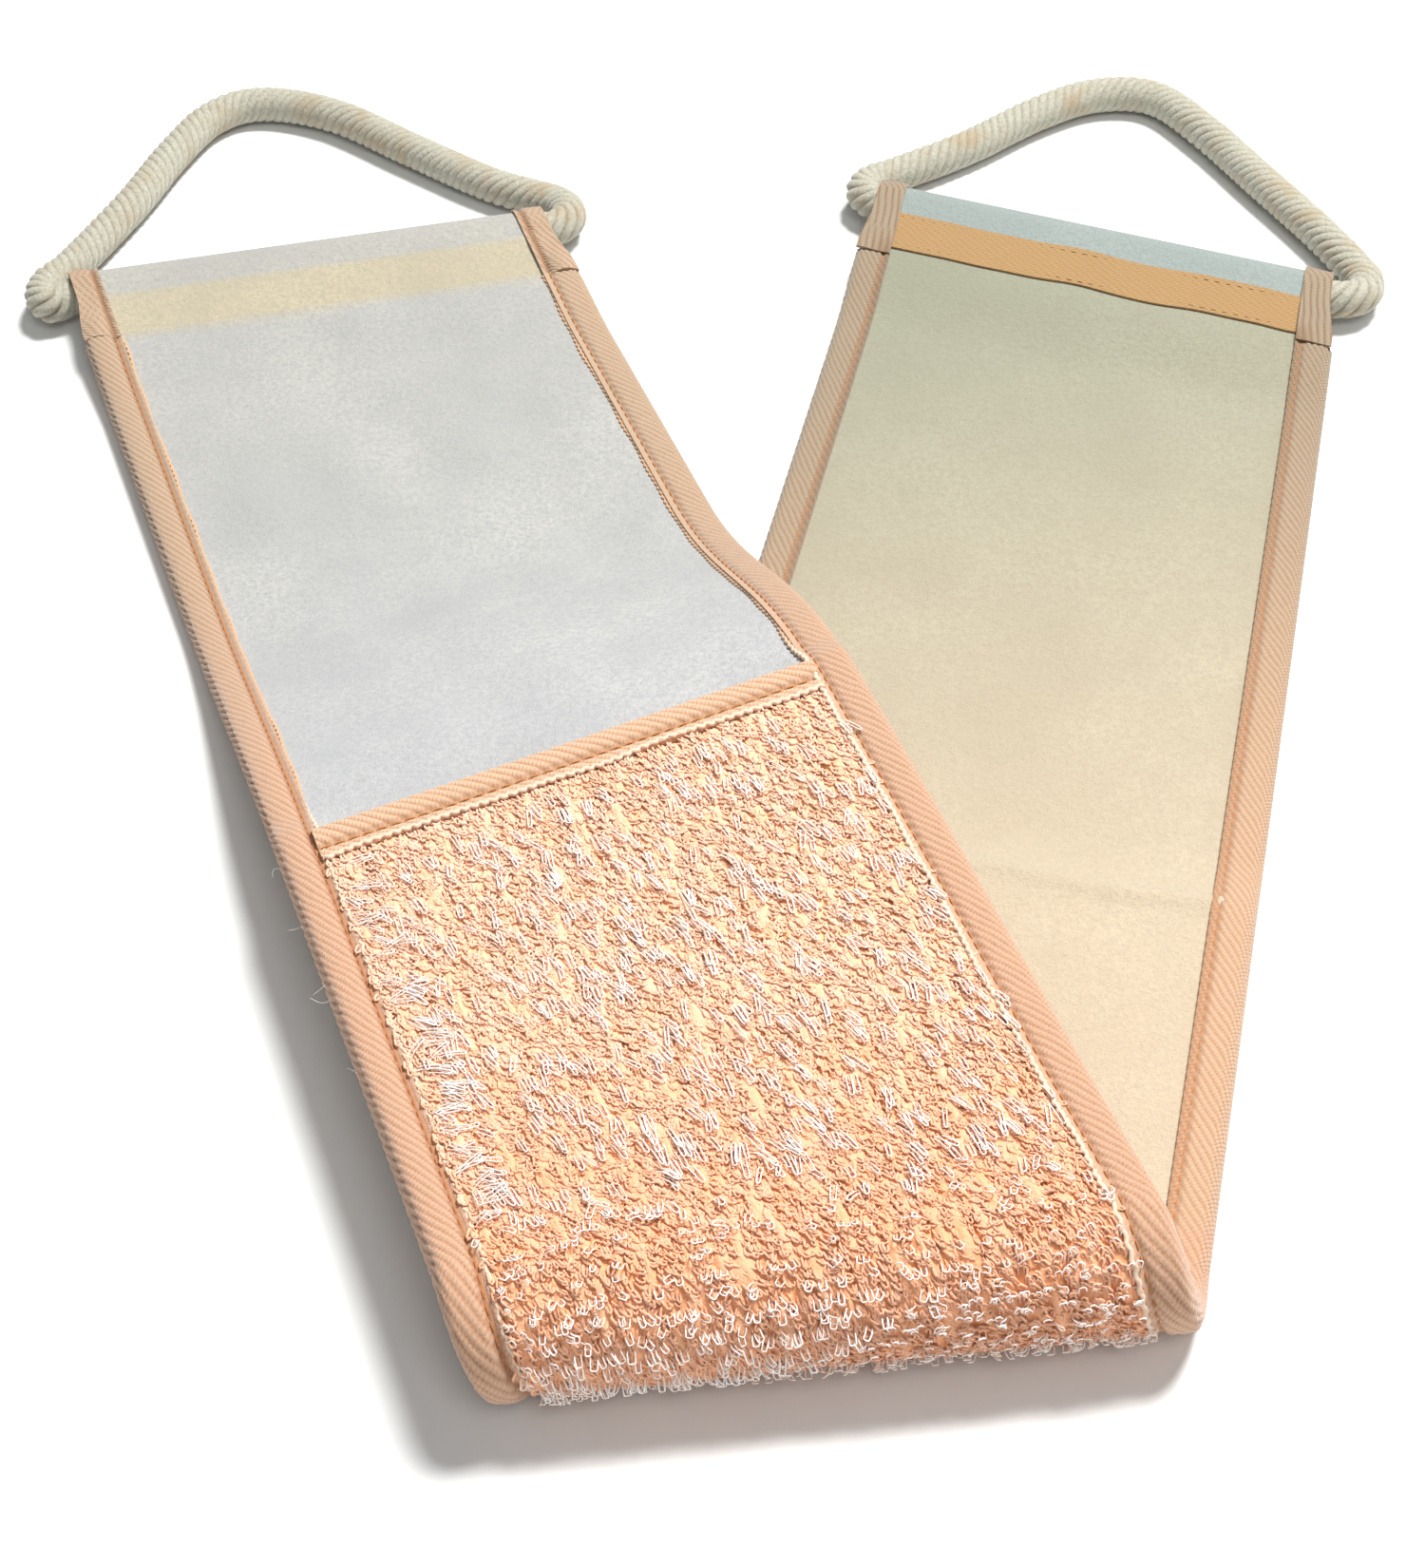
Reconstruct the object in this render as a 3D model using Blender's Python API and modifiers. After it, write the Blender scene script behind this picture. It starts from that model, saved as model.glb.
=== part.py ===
"""Back scrubber: a cloth strap with a terry scrub panel, folded once across the panel and laid
down in a V, with a rope handle through the hem at each end.

Metres, +Z up, the floor at z = 0. Everything on the strap is drawn in the strap's own coordinates,
(s, v, n), and bent to shape by strap_point():
  s  along the strap from the fold, positive on the rear leg and negative on the front leg
  v  across the strap, from the left edge to the right edge
  n  out of the strap's middle layer, towards the terry side
"""

import math

import bpy
from mathutils import Vector

# Driving dimensions.
STRAP_WIDTH = 0.110
ROPE_RADIUS = 0.0042
FOLD_SLANT = math.radians(16.75)  # the fold line runs this far out of square, which spreads the two legs
FOLD_RADIUS = 0.0089  # of the strap's middle layer round the fold
PANEL_LIFT = 0.0062  # the middle layer's height where the rear leg lies on its terry
BARE_LIFT = 0.0035  # its height where the cloth has no terry
HEM_LIFT = 0.0061  # its height at the hems, which lie on their rope tunnels
FOLD_POINT = (0.0060, -0.1465)  # the middle of the fold line on the floor, from the origin
GAP = 0.0003  # between touching pieces

# Each leg's length from the fold to its hem, how far the terry reaches, its side of the fold, and how much
# longer its left edge is than its right, as a share of the strap's width.
LEGS = {
    "front": {"length": 0.332, "panel": 0.1315, "side": -1, "askew": 0.20},
    "rear": {"length": 0.3105, "panel": 0.1105, "side": 1, "askew": 0.19},
}

# The front leg stands on the rear leg's springy fold, higher on the right, then drops to the floor.
CREST_LEFT, CREST_RIGHT = 0.0205, 0.0290
CREST_PLACE = 0.9  # where the crest comes, as a share of the panel's length
FRONT_DROP = 0.084
FRONT_REST = 0.0038
BARE_FROM, BARE_OVER = -0.0040, 0.0180  # the thin cloth's start past the panel, and the slope down to it
HEM_RISE_FROM, HEM_RISE_OVER = 0.050, 0.025  # the slope up to the hem, measured back from the strap's end

# Layers, as (n of the face nearer the middle, n of the far face).
WADDING = (-0.0006, 0.0006)
FACE_CLOTH = (0.0009, 0.0015)
TERRY = (0.0018, 0.0062)
REVERSE_CLOTH = (-0.0009, -0.0015)
TAPE = 0.0006  # thickness of the binding tape

# Side bindings and cross tapes.
BINDING_WIDTH = 0.0080
BINDING_ON_PANEL = 0.0044  # n of the tape's inner face over the terry's edge
BINDING_ON_CLOTH = 0.0018
BINDING_TURN = 0.0020  # depth of the turn round the strap's edge
CROSS_TAPE_WIDTH = 0.0095
PANEL_INSET = BINDING_WIDTH + 2 * GAP
CLOTH_INSET = 0.0024

# Hems, measured back from the strap's end.
TUNNEL_AXIS = 0.0070
TUNNEL_RADIUS = ROPE_RADIUS + GAP
HEM_DEPTH = 0.0270
HEM_TAPE_FROM, HEM_TAPE_TO = 0.0265, 0.0135
HEM_TAPE_LEVEL = -0.0030  # n of the hem tape's inner face, over the turned flap of the face cloth
FLAP_START, FLAP_END = 0.0140, 0.0230
LINING_END = 0.0126
HEM_PINCH = 0.0016  # how far the rope draws each corner of the hem in

# Sewing thread, which stands on the tape as a fine ridge.
THREAD_RADIUS = 0.00035
SIDE_SEAM_INSET = 0.0060  # from the strap's edge
HEM_SEAM_INSET = 0.0015  # from the hem tape's edges
CROSS_SEAM_PLACE = 0.7  # as a share of the cross tape's width

# Squares along a leg's panel, along its bare cloth and round the fold.
PANEL_STEPS, CLOTH_STEPS, FOLD_STEPS = 8, 12, 12
COLUMNS = 4  # squares across a sheet of cloth
LEG_STEPS = PANEL_STEPS + 1 + CLOTH_STEPS
FOLD_REACH = 0.0200  # from the fold line to where each rigid leg starts, measured square to it

# The rope's route, seen from above, as (along the hem, outward past the strap's end). It leaves the middle
# of the tunnel, curls round the right corner, rises in an arch and curls back in round the left corner.
IN_TUNNEL = [(GAP, -TUNNEL_AXIS), (0.0120, -TUNNEL_AXIS), (0.0300, -TUNNEL_AXIS), (0.0470, -TUNNEL_AXIS)]
CURL = [(0.0556, -0.0068), (0.0600, -0.0038), (0.0602, 0.0016), (0.0566, 0.0068)]
LOW_CURL = [(0.0552, -0.0070), (0.0598, -0.0092), (0.0618, -0.0052), (0.0602, 0.0008), (0.0558, 0.0062)]
ROPE_ROUTE = {
    "front": CURL + [(0.0440, 0.0168), (0.0270, 0.0355), (0.0090, 0.0555), (-0.0080, 0.0648), (-0.0205, 0.0618),
                     (-0.0305, 0.0485), (-0.0415, 0.0285)] + [(-a, b) for a, b in reversed(LOW_CURL)],
    "rear": CURL + [(0.0440, 0.0190), (0.0265, 0.0335), (0.0080, 0.0488), (-0.0080, 0.0586), (-0.0220, 0.0552),
                    (-0.0330, 0.0430), (-0.0440, 0.0240)] + [(-a, b) for a, b in reversed(CURL)],
}
ROPE_STEP = 1.1 * ROPE_RADIUS  # between the points of its curve
ROPE_DROP = 0.018  # the distance over which it comes down from the tunnel to the floor
ROPE_TAPER = 0.0034  # radius of the rope's ends, pressed together inside the splice
ROPE_TAPER_OVER = 0.006
SPLICE_HALF = 0.0110
CURVE_STEPS = 16  # between two points of a route

HALF = STRAP_WIDTH / 2
QUARTER_TURN = FOLD_RADIUS * math.pi / 2
FOLD_CENTRE = PANEL_LIFT + FOLD_RADIUS


def smooth(t):
    t = min(max(t, 0.0), 1.0)
    return t * t * (3 - 2 * t)


def mix(a, b, t):
    return a + (b - a) * t


def clear_scene():
    for obj in list(bpy.data.objects):
        bpy.data.objects.remove(obj, do_unlink=True)


# ---- the strap's shape -------------------------------------------------------------------------


def bare(name, reach):
    """0 on the terry panel and 1 on the bare cloth past its cross tape."""
    return smooth((reach - LEGS[name]["panel"] - BARE_FROM) / BARE_OVER)


def leg_height(name, reach, v, past_fold):
    """Height of the middle layer on a leg, reach along it from the fold."""
    leg = LEGS[name]
    if name == "rear":
        height = mix(PANEL_LIFT, BARE_LIFT, bare(name, reach))
    else:
        crest = mix(CREST_LEFT, CREST_RIGHT, v / STRAP_WIDTH + 0.5)
        top = FOLD_CENTRE + FOLD_RADIUS
        height = mix(top, crest, smooth(past_fold / (CREST_PLACE * leg["panel"])))
        height = mix(height, FRONT_REST, smooth((reach - leg["panel"]) / FRONT_DROP))
    return mix(height, HEM_LIFT, smooth((reach - leg["length"] + HEM_RISE_FROM) / HEM_RISE_OVER))


def middle_point(s, v):
    """World place of the strap's middle layer at (s, v)."""
    cos, sin = math.cos(FOLD_SLANT), math.sin(FOLD_SLANT)
    name = "rear" if s * cos > v * sin else "front"
    leg = LEGS[name]
    side = leg["side"]
    half_way = leg["panel"] / 2
    askew = leg["askew"] * v * smooth((side * s - half_way) / (leg["length"] - half_way))
    reach = side * s - askew
    from_fold = reach * cos - side * v * sin
    turn = min(from_fold / FOLD_RADIUS, math.pi / 2)
    past_fold = max(from_fold - QUARTER_TURN, 0.0)
    if past_fold > 0:
        z = leg_height(name, side * s, v, past_fold)
    else:
        z = FOLD_CENTRE - side * FOLD_RADIUS * math.sin(turn)
    x = side * reach * sin + v * cos
    y = past_fold - FOLD_RADIUS * math.cos(turn)
    return Vector((FOLD_POINT[0] + x, FOLD_POINT[1] + y, z))


def strap_point(s, v, n):
    """World place of the point n out of the middle layer at (s, v)."""
    step = 0.0005
    along = middle_point(s + step, v) - middle_point(s - step, v)
    across = middle_point(s, v + step) - middle_point(s, v - step)
    return middle_point(s, v) + along.cross(across).normalized() * n


def station(name, k, v):
    """s of station k of a leg: 0 is the slanted end at the fold, then even steps to the cross tape, one
    over the tape, and even steps to the hem."""
    leg = LEGS[name]
    start = (FOLD_REACH + leg["side"] * v * math.sin(FOLD_SLANT)) / math.cos(FOLD_SLANT)
    if k <= PANEL_STEPS:
        reach = mix(start, leg["panel"] - CROSS_TAPE_WIDTH, k / PANEL_STEPS)
    else:
        reach = mix(leg["panel"], leg["length"] - HEM_DEPTH, (k - PANEL_STEPS - 1) / CLOTH_STEPS)
    return leg["side"] * reach


def fold_station(k, v):
    """s of station k across the fold, from the front leg's start to the rear leg's."""
    from_fold = mix(-1, 1, k / FOLD_STEPS) * (FOLD_REACH - GAP)
    return (from_fold + v * math.sin(FOLD_SLANT)) / math.cos(FOLD_SLANT)


# ---- making objects ----------------------------------------------------------------------------


def material(name, colour, roughness):
    """A cloth material. colour is linear RGB."""
    made = bpy.data.materials.get(name)
    if made is None:
        made = bpy.data.materials.new(name)
        made.use_nodes = True
        shader = made.node_tree.nodes["Principled BSDF"]
        shader.inputs["Base Color"].default_value = (*colour, 1.0)
        shader.inputs["Roughness"].default_value = roughness
        shader.inputs["Metallic"].default_value = 0.0
    return made


def new_collection(name):
    made = bpy.data.collections.new(name)
    bpy.context.scene.collection.children.link(made)
    return made


def put_in(collection, obj):
    for other in list(obj.users_collection):
        other.objects.unlink(obj)
    collection.objects.link(obj)


def layer(collection, name, look, columns, rows, place, thickness):
    """A sheet of cloth: a grid of columns x rows squares laid by place(i, j) and thickened to one side.
    Where i runs towards +X and j towards +Y, a positive thickness grows towards +Z."""
    bpy.ops.mesh.primitive_grid_add(x_subdivisions=columns, y_subdivisions=rows, size=2)
    obj = bpy.context.object
    obj.name = obj.data.name = name
    for vertex in obj.data.vertices:
        i = round((vertex.co.x + 1) / 2 * columns)
        j = round((vertex.co.y + 1) / 2 * rows)
        vertex.co = place(i if thickness > 0 else columns - i, j)
    obj.data.materials.append(look)
    obj.data.shade_smooth()
    obj.data.set_sharp_from_angle(angle=math.radians(40))
    wall = obj.modifiers.new("Thickness", "SOLIDIFY")
    wall.thickness = abs(thickness)
    wall.offset = 1.0
    wall.use_even_offset = True
    put_in(collection, obj)
    return obj


def tube(collection, name, look, points, radius, sides, radii=None):
    """A round cord or thread through the points, with closed ends."""
    curve = bpy.data.curves.new(name, "CURVE")
    curve.dimensions = "3D"
    curve.bevel_depth = radius
    curve.bevel_resolution = sides
    curve.use_fill_caps = True
    line = curve.splines.new("POLY")
    line.points.add(len(points) - 1)
    for k, point in enumerate(points):
        line.points[k].co = (*point, 1.0)
        line.points[k].radius = radii[k] if radii else 1.0
    obj = bpy.data.objects.new(name, curve)
    curve.materials.append(look)
    collection.objects.link(obj)
    return obj


def hang_from(obj, pivot):
    """Parents obj to the empty on its joint's axis, leaving it where it is."""
    obj.parent = pivot
    obj.matrix_parent_inverse = pivot.matrix_world.inverted()


def pivot_at(name, place, parent=None):
    pivot = bpy.data.objects.new(name, None)
    pivot.empty_display_size = 0.02
    pivot.location = place
    bpy.context.scene.collection.objects.link(pivot)
    bpy.context.view_layer.update()
    if parent:
        hang_from(pivot, parent)
        bpy.context.view_layer.update()
    return pivot


# ---- cross-sections ----------------------------------------------------------------------------


def binding_level(name, s):
    """n of the binding's inner face on the terry side: high on the panel, low on the bare cloth."""
    return BINDING_ON_PANEL if name == "fold" else mix(BINDING_ON_PANEL, BINDING_ON_CLOTH, bare(name, abs(s)))


def binding_section(edge, high, steps=5):
    """(v, n) of the tape wrapped round one edge, from the terry side to the plain side."""
    low = -BINDING_ON_CLOTH
    middle, half_height = (high + low) / 2, (high - low) / 2
    inner, turn = HALF - BINDING_WIDTH, HALF - BINDING_TURN
    points = [(inner, high)]
    for k in range(steps + 1):
        angle = math.pi / 2 - math.pi * k / steps
        points.append((turn + BINDING_TURN * math.cos(angle), middle + half_height * math.sin(angle)))
    points.append((inner, low))
    return [(edge * v, n) for v, n in points]


def round_rope(radius, start, end, steps=8):
    """(distance back from the strap's end, n) round the rope: from start, along a tangent, round a circle
    of this radius, and along a tangent to end. start and end are (distance, n)."""

    def touch(point, turn):
        dx, dy = TUNNEL_AXIS - point[0], point[1]
        return math.atan2(dy, dx) + turn * math.acos(radius / math.hypot(dx, dy))

    first, last = touch(start, -1), touch(end, 1)
    last -= 2 * math.pi if last > first else 0
    points = [start]
    for k in range(steps + 1):
        angle = mix(first, last, k / steps)
        points.append((TUNNEL_AXIS - radius * math.cos(angle), radius * math.sin(angle)))
    return points + [end]


# ---- the pieces of the strap -------------------------------------------------------------------


def outward(leg, thickness):
    """The thickness to give layer() so that a positive one grows towards the terry side on either leg."""
    return thickness if leg == "front" else -thickness


def fold_layer(collection, name, look, faces, inset):
    near, far = faces

    def place(i, j):
        v = mix(-1, 1, i / COLUMNS) * (HALF - inset)
        return strap_point(fold_station(j, v), v, near)

    return layer(collection, name, look, COLUMNS, FOLD_STEPS, place, near - far)


def seam_station(leg, k, v):
    """s of station k of a leg, or of the fold."""
    return fold_station(k, v) if leg == "fold" else station(leg, k, v)


def binding(collection, name, leg, look, edge, rows):
    """The tape along one edge of a leg, or of the fold, wrapped from the terry side to the plain side."""
    size = len(binding_section(edge, BINDING_ON_PANEL)) - 1

    def place(i, j):
        v, _ = binding_section(edge, BINDING_ON_PANEL)[i]
        s = seam_station(leg, j, v)
        return strap_point(s, v, binding_section(edge, binding_level(leg, s))[i][1])

    return layer(collection, name, look, size, rows, place, outward(leg, edge * TAPE))


def across_strip(collection, name, leg, look, route, half_width, thickness):
    """A strip that runs across a leg, laid through the (distance back from the end, n) points of route."""
    length, side = LEGS[leg]["length"], LEGS[leg]["side"]

    def place(i, j):
        back, n = route[j]
        return strap_point(side * (length - back), mix(-1, 1, i / COLUMNS) * half_width, n)

    return layer(collection, name, look, COLUMNS, len(route) - 1, place, outward(leg, thickness))


def drawn_in(back):
    """0 where the hem is at full width and 1 round the rope, back from the strap's end."""
    return smooth((HEM_DEPTH - back) / (HEM_DEPTH - HEM_TAPE_TO))


def face_cloth(collection, leg, look):
    """The white cloth: flat along the leg, then over the rope and back under the hem tape."""
    near, far = FACE_CLOTH
    flap = -REVERSE_CLOTH[1] + GAP
    turn = round_rope(TUNNEL_RADIUS, (HEM_DEPTH, near), (FLAP_START, -flap)) + [(FLAP_END, -flap)]
    length, side = LEGS[leg]["length"], LEGS[leg]["side"]

    def place(i, j):
        v = mix(-1, 1, i / COLUMNS) * (HALF - CLOTH_INSET)
        if j < LEG_STEPS:
            return strap_point(station(leg, j, v), v, near)
        back, n = turn[j - LEG_STEPS]
        v *= 1 - HEM_PINCH / HALF * drawn_in(back)
        return strap_point(side * (length - back), v, n)

    rows = LEG_STEPS + len(turn) - 1
    return layer(collection, leg + "_face_cloth", look, COLUMNS, rows, place, outward(leg, far - near))


def lining(collection, name, leg, look, faces):
    """Wadding or reverse cloth of a leg, which stops short of the rope."""
    near, far = faces
    length, side = LEGS[leg]["length"], LEGS[leg]["side"]

    def place(i, j):
        v = mix(-1, 1, i / COLUMNS) * (HALF - CLOTH_INSET)
        s = station(leg, j, v) if j <= LEG_STEPS else side * (length - LINING_END)
        return strap_point(s, v, near)

    return layer(collection, name, look, COLUMNS, LEG_STEPS + 1, place, outward(leg, far - near))


def binding_turnover(collection, name, leg, look, edge):
    """The end of a side binding, turned over the rope with the hem."""
    radius = TUNNEL_RADIUS + FACE_CLOTH[1] - FACE_CLOTH[0] + GAP
    start, end = (HEM_DEPTH - 2 * GAP, BINDING_ON_CLOTH), (HEM_TAPE_TO, HEM_TAPE_LEVEL)
    route = round_rope(radius, start, end) + [(HEM_DEPTH - 2 * GAP, HEM_TAPE_LEVEL)]
    length, side = LEGS[leg]["length"], LEGS[leg]["side"]

    def place(i, j):
        back, n = route[j]
        outer = HALF - HEM_PINCH * drawn_in(back)
        v = mix(-outer, BINDING_WIDTH - HALF, i) if edge < 0 else mix(HALF - BINDING_WIDTH, outer, i)
        return strap_point(side * (length - back), v, n)

    return layer(collection, name, look, 1, len(route) - 1, place, outward(leg, TAPE))


def cross_tape(collection, leg, look):
    """The tape bound over the terry panel's end."""
    back = LEGS[leg]["length"] - LEGS[leg]["panel"]
    high, low = BINDING_ON_PANEL, FACE_CLOTH[1] + GAP
    route = [(back + CROSS_TAPE_WIDTH, high), (back + CROSS_TAPE_WIDTH / 3, high), (back + GAP, low)]
    return across_strip(collection, leg + "_cross_tape", leg, look, route, HALF - PANEL_INSET, TAPE)


def terry_panel(collection, leg, look):
    """The terry's half on one leg, which stops under the cross tape's edge."""
    near, far = TERRY
    side, end = LEGS[leg]["side"], LEGS[leg]["panel"] - CROSS_TAPE_WIDTH - 2 * GAP

    def place(i, j):
        v = mix(-1, 1, i / COLUMNS) * (HALF - PANEL_INSET)
        return strap_point(side * min(side * station(leg, j, v), end), v, near)

    return layer(collection, leg + "_terry", look, COLUMNS, PANEL_STEPS, place, outward(leg, far - near))


# ---- sewing ------------------------------------------------------------------------------------


def side_seam(collection, name, leg, look, edge, face, rows):
    """Thread along a side binding. face is 1 on the terry side and -1 on the plain side."""
    v = edge * (HALF - SIDE_SEAM_INSET)
    points = []
    for k in range(rows + 1):
        s = seam_station(leg, k, v)
        level = binding_level(leg, s) if face > 0 else BINDING_ON_CLOTH
        points.append(strap_point(s, v, face * (level + TAPE + GAP + THREAD_RADIUS)))
    return tube(collection, name, look, points, THREAD_RADIUS, 0)


def cross_seam(collection, name, leg, look, back, n, half_width):
    """Thread across a leg, back from its end."""
    length, side = LEGS[leg]["length"], LEGS[leg]["side"]
    points = []
    for k in range(COLUMNS + 1):
        points.append(strap_point(side * (length - back), mix(-1, 1, k / COLUMNS) * half_width, n))
    return tube(collection, name, look, points, THREAD_RADIUS, 0)


# ---- the rope handles --------------------------------------------------------------------------


def smooth_through(points, spacing):
    """Points at this spacing along one smooth curve through the given ones (Catmull-Rom)."""
    padded = [points[0] * 2 - points[1], *points, points[-1] * 2 - points[-2]]
    fine = []
    for a, b, c, d in zip(padded, padded[1:], padded[2:], padded[3:]):
        for k in range(CURVE_STEPS):
            t = k / CURVE_STEPS
            slope, bend, twist = c - a, a * 2 - b * 5 + c * 4 - d, b * 3 - a - c * 3 + d
            fine.append((b * 2 + slope * t + bend * t**2 + twist * t**3) / 2)
    fine.append(points[-1])
    walked, kept = 0.0, [fine[0]]
    for before, after in zip(fine, fine[1:]):
        walked += (after - before).length
        if walked >= spacing:
            kept.append(after)
            walked = 0.0
    if (kept[-1] - fine[-1]).length < spacing / 2:
        kept.pop()
    return kept + [fine[-1]]


def hem_frame(leg):
    """The tunnel's middle, the direction along it towards the right edge, and the way out past the end."""
    side, length = LEGS[leg]["side"], LEGS[leg]["length"]
    left = middle_point(side * (length - TUNNEL_AXIS), -HALF)
    right = middle_point(side * (length - TUNNEL_AXIS), HALF)
    along = (right - left).normalized()
    return (left + right) / 2, along, Vector((-along.y, along.x, 0)).normalized()


def rope_handle(collection, leg, look):
    """A rope from the splice inside the tunnel, out of one mouth, round in an arch and into the other."""
    middle, along, outward_way = hem_frame(leg)
    plan = IN_TUNNEL + ROPE_ROUTE[leg] + [(-a, b) for a, b in reversed(IN_TUNNEL)]
    points = []
    for a, b in plan:
        clear_of_hem = smooth((b + TUNNEL_AXIS) / ROPE_DROP)
        point = middle + along * a + outward_way * (b + TUNNEL_AXIS)
        point.z = mix(HEM_LIFT, ROPE_RADIUS + GAP, clear_of_hem)
        points.append(point)
    line = smooth_through(points, ROPE_STEP)
    radii = []
    for point in line:
        from_splice = abs((point - middle).dot(along))
        in_tunnel = (point - middle).dot(outward_way) < GAP
        pressed = smooth((from_splice - SPLICE_HALF) / ROPE_TAPER_OVER) if in_tunnel else 1.0
        radii.append(mix(ROPE_TAPER / ROPE_RADIUS, 1.0, pressed))
    return tube(collection, leg + "_rope_handle", look, line, ROPE_RADIUS, 3, radii)


def rope_splice(collection, leg, look):
    """The whipping that holds the rope's two ends together: a short sleeve, hidden in the tunnel."""
    middle, along, _ = hem_frame(leg)
    inner = ROPE_TAPER + GAP
    bpy.ops.mesh.primitive_cylinder_add(vertices=20, radius=inner, depth=2 * SPLICE_HALF, end_fill_type="NOTHING")
    obj = bpy.context.object
    obj.name = obj.data.name = leg + "_rope_splice"
    obj.location = middle
    obj.rotation_mode = "QUATERNION"
    obj.rotation_quaternion = along.to_track_quat("Z", "Y")
    obj.data.materials.append(look)
    wall = obj.modifiers.new("Whipping", "SOLIDIFY")
    wall.thickness = ROPE_RADIUS - inner
    wall.offset = 1.0
    wall.use_even_offset = True
    obj.data.shade_smooth()
    obj.data.set_sharp_from_angle(angle=math.radians(40))
    put_in(collection, obj)
    return obj


# ---- assembly ----------------------------------------------------------------------------------


def build_leg(parts, leg, looks):
    """All the sewn pieces of one leg."""
    made = [
        face_cloth(parts, leg, looks["white"]),
        lining(parts, leg + "_wadding", leg, looks["wadding"], WADDING),
        lining(parts, leg + "_reverse_cloth", leg, looks["cream"], REVERSE_CLOTH),
        terry_panel(parts, leg, looks["terry"]),
        cross_tape(parts, leg, looks["tape"]),
    ]
    for edge, word in ((-1, "left"), (1, "right")):
        made += [
            binding(parts, f"{leg}_{word}_binding", leg, looks["tape"], edge, LEG_STEPS),
            binding_turnover(parts, f"{leg}_{word}_binding_turnover", leg, looks["tape"], edge),
            side_seam(parts, f"{leg}_{word}_seam_terry_side", leg, looks["thread"], edge, 1, LEG_STEPS),
            side_seam(parts, f"{leg}_{word}_seam_plain_side", leg, looks["thread"], edge, -1, LEG_STEPS),
        ]
    route = [(HEM_TAPE_FROM, HEM_TAPE_LEVEL), (HEM_TAPE_TO, HEM_TAPE_LEVEL)]
    half_width = HALF - PANEL_INSET
    made.append(across_strip(parts, leg + "_hem_tape", leg, looks["hem"], route, half_width, -TAPE))
    below = HEM_TAPE_LEVEL - TAPE - GAP - THREAD_RADIUS
    rows = {"outer": HEM_TAPE_TO + HEM_SEAM_INSET, "inner": HEM_TAPE_FROM - HEM_SEAM_INSET}
    for word, back in rows.items():
        made.append(cross_seam(parts, f"{leg}_hem_seam_{word}", leg, looks["thread"], back, below, half_width))
    back = LEGS[leg]["length"] - LEGS[leg]["panel"] + CROSS_TAPE_WIDTH * CROSS_SEAM_PLACE
    above = BINDING_ON_PANEL + TAPE + GAP + THREAD_RADIUS
    made.append(cross_seam(parts, leg + "_cross_seam", leg, looks["thread"], back, above, half_width))
    return made


def build_fold(parts, looks):
    """The pieces that bend round between the legs."""
    fold_layer(parts, "fold_wadding", looks["wadding"], WADDING, CLOTH_INSET)
    fold_layer(parts, "fold_face_cloth", looks["white"], FACE_CLOTH, CLOTH_INSET)
    fold_layer(parts, "fold_reverse_cloth", looks["cream"], REVERSE_CLOTH, CLOTH_INSET)
    fold_layer(parts, "fold_terry", looks["terry"], TERRY, PANEL_INSET)
    for edge, word in ((-1, "left"), (1, "right")):
        binding(parts, f"fold_{word}_binding", "fold", looks["tape"], edge, FOLD_STEPS)
        side_seam(parts, f"fold_{word}_seam", "fold", looks["thread"], edge, 1, FOLD_STEPS)


def main():
    clear_scene()
    parts = new_collection("back_scrubber")
    looks = {
        "terry": material("peach_terry", (0.92, 0.60, 0.38), 0.95),
        "tape": material("peach_twill_tape", (0.90, 0.62, 0.42), 0.85),
        "hem": material("tan_hem_tape", (0.82, 0.52, 0.24), 0.85),
        "white": material("white_flannel", (0.86, 0.88, 0.86), 0.95),
        "cream": material("cream_flannel", (0.84, 0.82, 0.62), 0.95),
        "wadding": material("wadding", (0.90, 0.90, 0.88), 1.0),
        "thread": material("sewing_thread", (0.88, 0.55, 0.30), 0.70),
        "rope": material("cotton_rope", (0.86, 0.80, 0.62), 0.90),
    }
    fold_line = FOLD_RADIUS + TERRY[1]
    hinge = pivot_at("fold_hinge", (FOLD_POINT[0], FOLD_POINT[1] - fold_line, FOLD_CENTRE))
    for leg in LEGS:
        sewn = build_leg(parts, leg, looks)
        handle = pivot_at(leg + "_handle_pivot", hem_frame(leg)[0], hinge if leg == "front" else None)
        hang_from(rope_handle(parts, leg, looks["rope"]), handle)
        hang_from(rope_splice(parts, leg, looks["thread"]), handle)
        if leg == "front":
            for obj in sewn:
                hang_from(obj, hinge)
    build_fold(parts, looks)
    bpy.context.view_layer.update()


main()
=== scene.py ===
"""The looks of the back scrubber: terry with nylon loops, twill bindings, brushed cloth, sewn hems and
twisted rope handles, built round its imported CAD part.

Metres, +Z up, the floor at z = 0. As in the part, the strap is drawn in its own coordinates, (s, v, n):
  s  along the strap from the fold, positive on the rear leg and negative on the front leg
  v  across the strap, from the left edge to the right edge
  n  out of the strap's middle layer, towards the terry side
"""

import math

import bpy
import numpy as np
from mathutils import Matrix, Vector


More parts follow.
